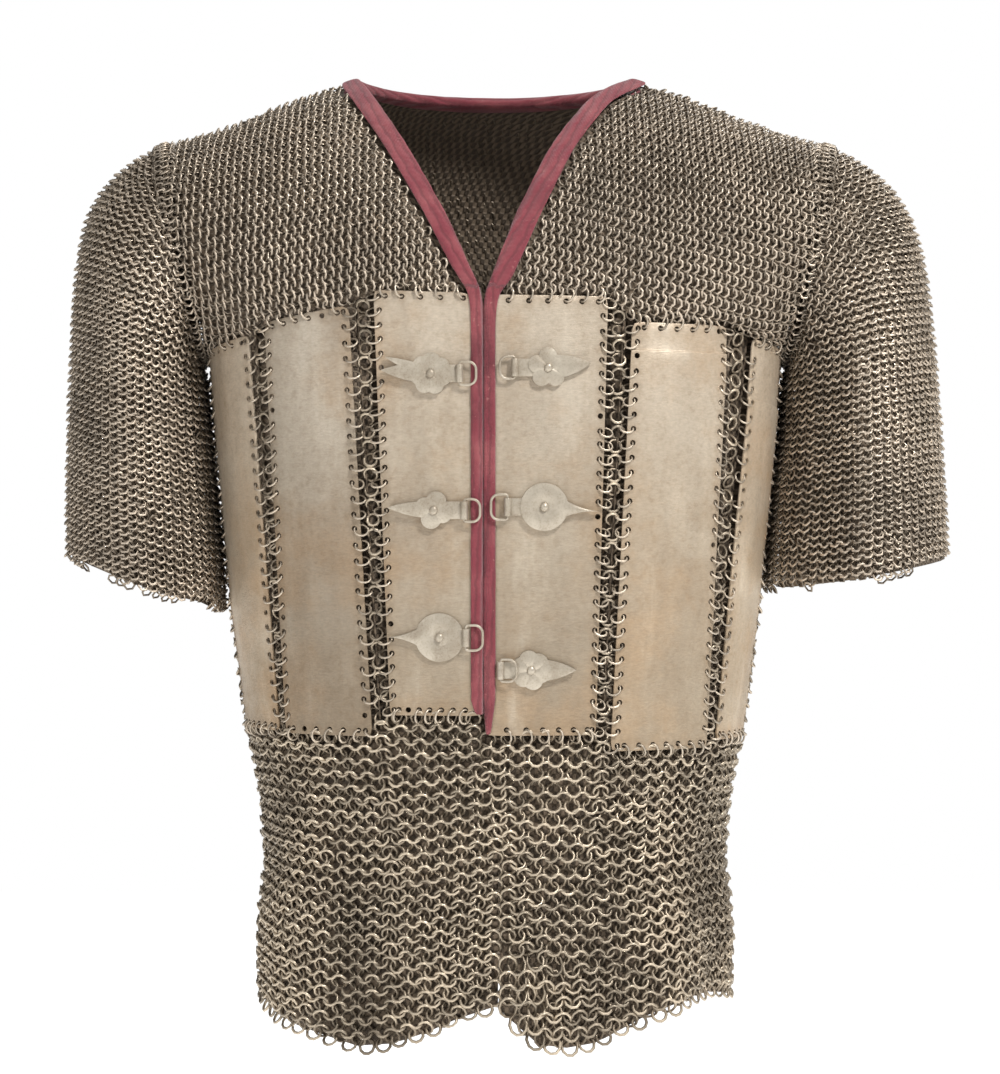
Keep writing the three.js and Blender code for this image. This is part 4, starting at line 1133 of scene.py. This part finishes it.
def plateLinks(side, first, holes, width, length):
    radius = (linkLook["outer"] - linkLook["wire"]) / 2 * mm
    groups = {key: [] for key in ("centre", "across", "along", "normal", "wide", "tall", "tint")}
    for hole in holes:
        if rng.random() < linkLook["skipped"]:
            continue
        place, normal = onPlate(side, first, *hole["place"])
        out = surfaceWay(side, first, *hole["place"], hole["out"], width, length)
        along = surfaceWay(side, first, *hole["place"], hole["along"], width, length)
        drift = rng.normal(linkLook["drift"], linkLook["driftSpread"])
        e1 = unit(out + along * drift)
        slant = math.radians(rng.normal(linkLook["slant"], linkLook["slantSpread"]))
        e2 = normal * math.cos(slant) + along * math.sin(slant)
        e2 = unit(e2 - e1 * np.dot(e1, e2))
        size = rng.normal(1.0, linkLook["sizeSpread"])
        groups["centre"].append(place + e1 * radius * size * linkLook["reach"]
                                - normal * linkLook["sink"] * mm)
        groups["across"].append(e1)
        groups["along"].append(e2)
        groups["normal"].append(normal)
        groups["wide"].append(radius * size)
        groups["tall"].append(radius * size * linkLook["squeeze"])
        groups["tint"].append(np.clip(rng.normal(linkLook["tint"], linkLook["tintSpread"]), 0, 1))
    return {key: np.array(values) for key, values in groups.items()}


linkGroups = []
for node, row in plates.items():
    makePlate(node, row)
links = ringPiece("linkRings", joinRings(linkGroups), linkLook, "linkRings")
print("plates and links made")

# strips of mail between the plates
stripLook = {**coarseMail["skirt"], "pitch": 8.6, "sink": 3.0, "outer": 10.0, "netDepth": 5.0}
strips = {
    "link_strip_front": {"first": 1, "length": 0.256, "width": {"right": 0.0135, "left": 0.0135}},
    "link_strip_side": {"first": 3, "length": 0.246, "width": {"right": 0.0105, "left": 0.0155}},
}
for side in sides:
    for kind, row in strips.items():
        node = f"{kind}_{side}"
        count = int(round(plateSize(side, row["first"])[1] / (stripLook["pitch"] * mm)))
        groups = []
        for index in range(count):
            place, normal = onPlate(side, row["first"], 0.5, (index + 0.5) / count)
            groups.append(leaningRings(place[None], normal[None], np.array([[0.0, 0.0, -1.0]]),
                                       np.array([1.0 if index % 2 else -1.0]), stripLook))
        piece = ringPiece(f"rings_{node}", joinRings(groups), stripLook, "coarseRings")
        sheet = netSheet(f"net_{node}", node, fromTorso, stripLook["netDepth"])


# clasps: riveted flower or disc, leaf tail, strap and rolled eye
claspLook = {"seat": 0.15, "deepPetal": 0.27, "shallowPetal": 0.14, "petalTurn": 0.3, "strap": 10.5,
             "strapThick": 2.0, "strapRim": 0.35, "rollRadius": 2.2, "rollRim": 0.3, "rivet": 3.0,
             "rivetRise": 0.7, "around": 60, "rings": 7}
plainClasp = {"thick": 2.6, "folded": False, "spare": False}
clasps = {
    "right_top": {**plainClasp, "side": "right", "x": -38.3, "z": -187.5, "radius": 12.6, "petals": 7,
                  "tip": 29.7, "tail": 5.6, "eye": 17.3, "loopHigh": 15.5, "loopReach": 10.8,
                  "droop": -4, "spare": True},
    "right_middle": {**plainClasp, "side": "right", "x": -36.5, "z": -269, "radius": 11.4, "petals": 4,
                     "tip": 27.5, "tail": 4.6, "eye": 18.3, "loopHigh": 15.2, "loopReach": 10.4, "droop": -3},
    "right_low": {**plainClasp, "side": "right", "thick": 1.4, "x": -33.2, "z": -345.4, "radius": 14.6,
                  "petals": 0, "tip": 32, "tail": 6.5, "eye": 15.9, "loopHigh": 16.8, "loopReach": 11,
                  "droop": 0},
    "left_top": {**plainClasp, "side": "left", "x": 31.7, "z": -184, "radius": 12.3, "petals": 5,
                 "tip": 25.7, "tail": 6.6, "eye": 20, "loopHigh": 15, "loopReach": 9.8, "droop": 6},
    "left_middle": {**plainClasp, "side": "left", "x": 29.3, "z": -267, "radius": 14.3, "petals": 0,
                    "tip": 32.7, "tail": 6, "eye": 21.9, "loopHigh": 16.8, "loopReach": 10.8, "droop": -5},
    "left_low": {**plainClasp, "side": "left", "x": 21.5, "z": -365, "radius": 12, "petals": 6,
                 "tip": 27, "tail": 6.4, "eye": 18.3, "loopHigh": 15, "loopReach": 10.6,
                 "folded": True, "droop": 0},
}


def claspFrame(row):
    # place of the rivet, with X towards the opening, Y upright and Z out of the plate
    z = row["z"] * mm
    angle = angleAt(row["x"] * mm, z)
    normal = Vector(bodyNormal(angle, z))
    toward = Vector((-sides[row["side"]], 0.0, 0.0))
    toward = (toward - normal * toward.dot(normal)).normalized()
    upright = normal.cross(toward)
    turn = Matrix((toward, upright, normal)).transposed().to_4x4()
    turn.translation = Vector(bodyPoint(angle, z))
    return turn


def petalOutline(row, turn):
    if not row["petals"]:
        return 1.0
    depth = claspLook["deepPetal"] if row["petals"] < 6 else claspLook["shallowPetal"]
    return 1 - depth * (1 - abs(math.cos(row["petals"] * (turn + claspLook["petalTurn"]) / 2)) ** 0.8)


def flowerRelief(row, share, turn):
    # height of the beaten face: petals swell, a disc is dished round its rivet
    if row["petals"]:
        groove = abs(math.cos(row["petals"] * (turn + claspLook["petalTurn"]) / 2)) ** 0.5
        return 0.9 * math.sin(math.pi * min(share, 1.0) ** 0.8) * (0.45 + 0.55 * groove)
    return 0.9 * math.sin(math.pi * share ** 1.4) - 0.35 * math.exp(-(share / 0.25) ** 2)


def addFlower(bm, row):
    count = claspLook["rings"]
    profile = [bm.verts.new((row["radius"] * mm * k / count, 0.0, 0.0)) for k in range(count + 1)]
    edges = [bm.edges.new(pair) for pair in zip(profile[:-1], profile[1:])]
    bmesh.ops.spin(bm, geom=profile + edges, axis=(0, 0, 1), cent=(0, 0, 0), steps=claspLook["around"],
                   angle=2 * math.pi, use_merge=True)
    bmesh.ops.remove_doubles(bm, verts=bm.verts, dist=1e-6)
    for vert in bm.verts:
        turn = math.atan2(vert.co.y, vert.co.x)
        share = vert.co.to_2d().length / (row["radius"] * mm)
        size = 1 + (petalOutline(row, turn) - 1) * share
        height = (row["thick"] + flowerRelief(row, share, turn)) * mm
        vert.co = Vector((vert.co.x * size, vert.co.y * size, height))
    dropRim(bm)


def dropRim(bm):
    # a wall from the open border down to the plate
    rim = [edge for edge in bm.edges if len(edge.link_faces) == 1]
    grown = bmesh.ops.extrude_edge_only(bm, edges=rim)["geom"]
    for vert in (item for item in grown if isinstance(item, bmesh.types.BMVert)):
        vert.co.z = 0.0


def addLeaf(bm, row, tip, tail, lift, turn, notch=0.0):
    part = bmesh.new()
    bmesh.ops.create_grid(part, x_segments=18, y_segments=8, size=1.0)
    root = row["radius"] * 0.45
    for vert in part.verts:
        share, across = (vert.co.x + 1) / 2, vert.co.y
        swell = tail * (1 - share) * (1 + 0.9 * share) + 0.15
        if not row["petals"]:
            swell = tail * ((1 - share) ** 2.2 * 1.3 + 0.14 * (1 - share))
        reach = root + (tip - root) * share - notch * (1 - abs(across)) * (share > 0.8)
        rise = 0.55 * (1 - abs(across) ** 1.5) * (1 - share ** 3)
        vert.co = Vector((-reach * mm, across * swell * mm, (row["thick"] + lift + rise) * mm))
    dropRim(part)
    bmesh.ops.rotate(part, verts=part.verts, cent=(0, 0, 0),
                     matrix=Matrix.Rotation(math.radians(turn), 3, "Z"))
    joinInto(bm, part)


def joinInto(bm, part):
    mesh = bpy.data.meshes.new("part")
    part.to_mesh(mesh)
    part.free()
    bm.from_mesh(mesh)
    bpy.data.meshes.remove(mesh)


def softenEdges(bm, edges, width):
    bmesh.ops.bevel(bm, geom=edges, offset=width * mm, affect="EDGES", segments=2, profile=0.5, material=-1)


def addStrap(bm, row):
    part = bmesh.new()
    bmesh.ops.create_cube(part, size=1.0)
    length, thick = row["eye"] * mm, claspLook["strapThick"] * mm
    bmesh.ops.scale(part, verts=part.verts, vec=(length, claspLook["strap"] * mm, thick))
    softenEdges(part, part.edges[:], claspLook["strapRim"])
    bmesh.ops.translate(part, verts=part.verts, vec=(length / 2, 0.0, thick / 2))
    joinInto(bm, part)
    roll = bmesh.new()
    bmesh.ops.create_cone(roll, cap_ends=True, segments=18, radius1=claspLook["rollRadius"] * mm,
                          radius2=claspLook["rollRadius"] * mm, depth=claspLook["strap"] * 1.02 * mm)
    caps = [edge for edge in roll.edges if edge.calc_face_angle(0) > 1.0]
    softenEdges(roll, caps, claspLook["rollRim"])
    bmesh.ops.rotate(roll, verts=roll.verts, cent=(0, 0, 0), matrix=Matrix.Rotation(math.pi / 2, 3, "X"))
    bmesh.ops.translate(roll, verts=roll.verts, vec=(row["eye"] * mm, 0.0, claspLook["rollRadius"] * mm))
    joinInto(bm, roll)


def addRivet(bm, row):
    part = bmesh.new()
    bmesh.ops.create_uvsphere(part, u_segments=16, v_segments=10, radius=claspLook["rivet"] * mm)
    bmesh.ops.scale(part, verts=part.verts, vec=(0.85, 0.92, 0.6))
    bmesh.ops.translate(part, verts=part.verts, vec=(0.0, 0.0, (row["thick"] + claspLook["rivetRise"]) * mm))
    joinInto(bm, part)


def makeClasp(name, row):
    bm = bmesh.new()
    addFlower(bm, row)
    addLeaf(bm, row, row["tip"], row["tail"], 0.25, row["droop"])
    if row["spare"]:
        addLeaf(bm, row, row["tip"] * 0.98, row["tail"] * 0.55, -0.1, -20, notch=2.5)
    addStrap(bm, row)
    addRivet(bm, row)
    bmesh.ops.recalc_face_normals(bm, faces=bm.faces)
    turn = claspFrame(row)
    bmesh.ops.translate(bm, verts=bm.verts, vec=(0.0, 0.0, claspLook["seat"] * mm))
    bmesh.ops.transform(bm, matrix=turn, verts=bm.verts)
    piece = newPiece(f"riveted_clasp_{name}", bm)
    piece.data.materials.append(materials["clasps"])
    shadeSmooth(piece, 38.0)
    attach(piece, "coat")
    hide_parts(f"clasp_{name}")


# D loops of bent wire, hinged in the eyes
loopLook = {"wire": 1.6, "farRadius": 4.8, "nearRadius": 1.7, "cornerSteps": 7, "hinge": 2.5, "fold": 165.0}


def loopPath(row):
    wire = loopLook["wire"] / 2
    far, half = row["loopReach"] - wire, row["loopHigh"] / 2 - wire
    path = []
    for cx, cy, radius, start in (
            (far - loopLook["farRadius"], half - loopLook["farRadius"], loopLook["farRadius"], 0),
            (loopLook["nearRadius"], half - loopLook["nearRadius"], loopLook["nearRadius"], 90),
            (loopLook["nearRadius"], -half + loopLook["nearRadius"], loopLook["nearRadius"], 180),
            (far - loopLook["farRadius"], -half + loopLook["farRadius"], loopLook["farRadius"], 270)):
        for step in range(loopLook["cornerSteps"]):
            turn = math.radians(start + 90 * step / (loopLook["cornerSteps"] - 1))
            path.append((cx + radius * math.cos(turn), cy + radius * math.sin(turn), 0.0))
    return path


def makeLoop(name, row):
    curve = bpy.data.curves.new(f"wire_loop_{name}", "CURVE")
    curve.dimensions = "3D"
    curve.bevel_depth = loopLook["wire"] / 2 * mm
    curve.bevel_resolution = 3
    spline = curve.splines.new("POLY")
    path = loopPath(row)
    spline.points.add(len(path) - 1)
    spline.use_cyclic_u = True
    for point, place in zip(spline.points, path):
        point.co = (*(value * mm for value in place), 1.0)
    wire = bpy.data.objects.new("wire", curve)
    bpy.context.scene.collection.objects.link(wire)
    bpy.context.view_layer.update()
    mesh = bpy.data.meshes.new_from_object(wire.evaluated_get(bpy.context.evaluated_depsgraph_get()))
    bpy.data.objects.remove(wire)
    fold = Matrix.Rotation(math.radians(-loopLook["fold"]), 4, "Y") if row["folded"] else Matrix.Identity(4)
    hinge = Matrix.Translation((row["eye"] * mm, 0.0, loopLook["hinge"] * mm))
    mesh.transform(claspFrame(row) @ hinge @ fold)
    piece = bpy.data.objects.new(f"wire_loop_{name}", mesh)
    bpy.context.scene.collection.objects.link(piece)
    piece.data.materials.append(materials["clasps"])
    shadeSmooth(piece, 60.0)
    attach(piece, f"{name}_loop")
    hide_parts(f"loop_{name}")


for name, row in clasps.items():
    makeClasp(name, row)
    makeLoop(name, row)
print("clasps and loops made")


# red cloth binding, folded over the neck and front edges; width, length and area of each flat cut
bindingCuts = {"binding_right": (0.028, 0.43, 0.0105), "binding_left": (0.028, 0.43, 0.0105),
               "binding_back": (0.022, 0.22, 0.0046)}
bindingLook = {"rumple": 0.3, "rumpleSize": 130.0, "levels": 2, "frontTop": -0.135, "swell": 0.9, "seat": 0.9,
               "fade": 0.012, "taperFrom": -0.383, "taperTo": -0.409, "tip": 0.35, "tipX": -0.0045,
               "slant": (0.87, 0.49),
               "openingX": {"binding_right": -0.0067, "binding_left": -0.0073}}


def closeFront(points, nearX):
    # the two front strips meet along the opening, swell as a soft roll and run out to one tip
    front = points[:, 2] < bindingLook["frontTop"]
    lowX, highX = points[front, 0].min(), points[front, 0].max()
    far = lowX if nearX > (lowX + highX) / 2 else highX
    near = highX if far == lowX else lowX
    share = np.clip((points[front, 0] - far) / (near - far), 0, 1)
    fade = np.clip((bindingLook["frontTop"] - points[front, 2]) / bindingLook["fade"], 0, 1)
    points[front, 0] += (nearX - near) * share * fade
    points[front, 1] += (bindingLook["seat"] - bindingLook["swell"] * np.sin(np.pi * share)) * mm * fade
    taper = np.clip((points[:, 2] - bindingLook["taperFrom"])
                    / (bindingLook["taperTo"] - bindingLook["taperFrom"]), 0, 1)
    size = 1 - (1 - bindingLook["tip"]) * taper
    points[:, 0] = bindingLook["tipX"] + (points[:, 0] - bindingLook["tipX"]) * size
    return points


def makeBinding(node):
    bm = bmesh.new()
    bm.from_mesh(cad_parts[node].data)
    bmesh.ops.remove_doubles(bm, verts=bm.verts, dist=1e-5)
    bmesh.ops.join_triangles(bm, faces=bm.faces[:], angle_face_threshold=0.7, angle_shape_threshold=1.2)
    piece = newPiece(node.replace("binding", "cloth_binding"), bm)
    soften = piece.modifiers.new("soften", "SUBSURF")
    soften.levels = bindingLook["levels"]
    soften.render_levels = bindingLook["levels"]
    bakeModifiers(piece)
    count = len(piece.data.vertices)
    points, normals = np.empty(count * 3, np.float32), np.empty(count * 3, np.float32)
    piece.data.vertices.foreach_get("co", points)
    piece.data.vertices.foreach_get("normal", normals)
    points, normals = points.reshape(-1, 3).astype(float), normals.reshape(-1, 3)
    lift = np.array([noise.noise(Vector(place) * bindingLook["rumpleSize"]) for place in points])
    points += normals * lift[:, None] * bindingLook["rumple"] * mm
    back = node.endswith("back")
    if not back:
        points = closeFront(points, bindingLook["openingX"][node])
    piece.data.vertices.foreach_set("co", points.reshape(-1).astype(np.float32))
    corner = np.empty(len(piece.data.loops), np.int32)
    piece.data.loops.foreach_get("vertex_index", corner)
    flat = points / mm
    across = flat[:, 1] + flat[:, 2] if back else flat[:, 0] + flat[:, 1]
    if not back:
        # along the V the weave turns with the strip
        slant = np.abs(flat[:, 0]) * bindingLook["slant"][0] - flat[:, 2] * bindingLook["slant"][1]
        across = np.where(points[:, 2] > bindingLook["frontTop"], slant, across)
    uv = np.stack([across, flat[:, 0] if back else flat[:, 2]], axis=1)[corner]
    piece.data.uv_layers.new(name="clothUV").data.foreach_set("uv", uv.reshape(-1).astype(np.float32))
    piece.data.update()
    piece.data.materials.clear()
    piece.data.materials.append(materials["cloth"])
    shadeSmooth(piece, 70.0)
    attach(piece, "coat")
    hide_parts(node)


for node in bindingCuts:
    makeBinding(node)
print("bindings made")
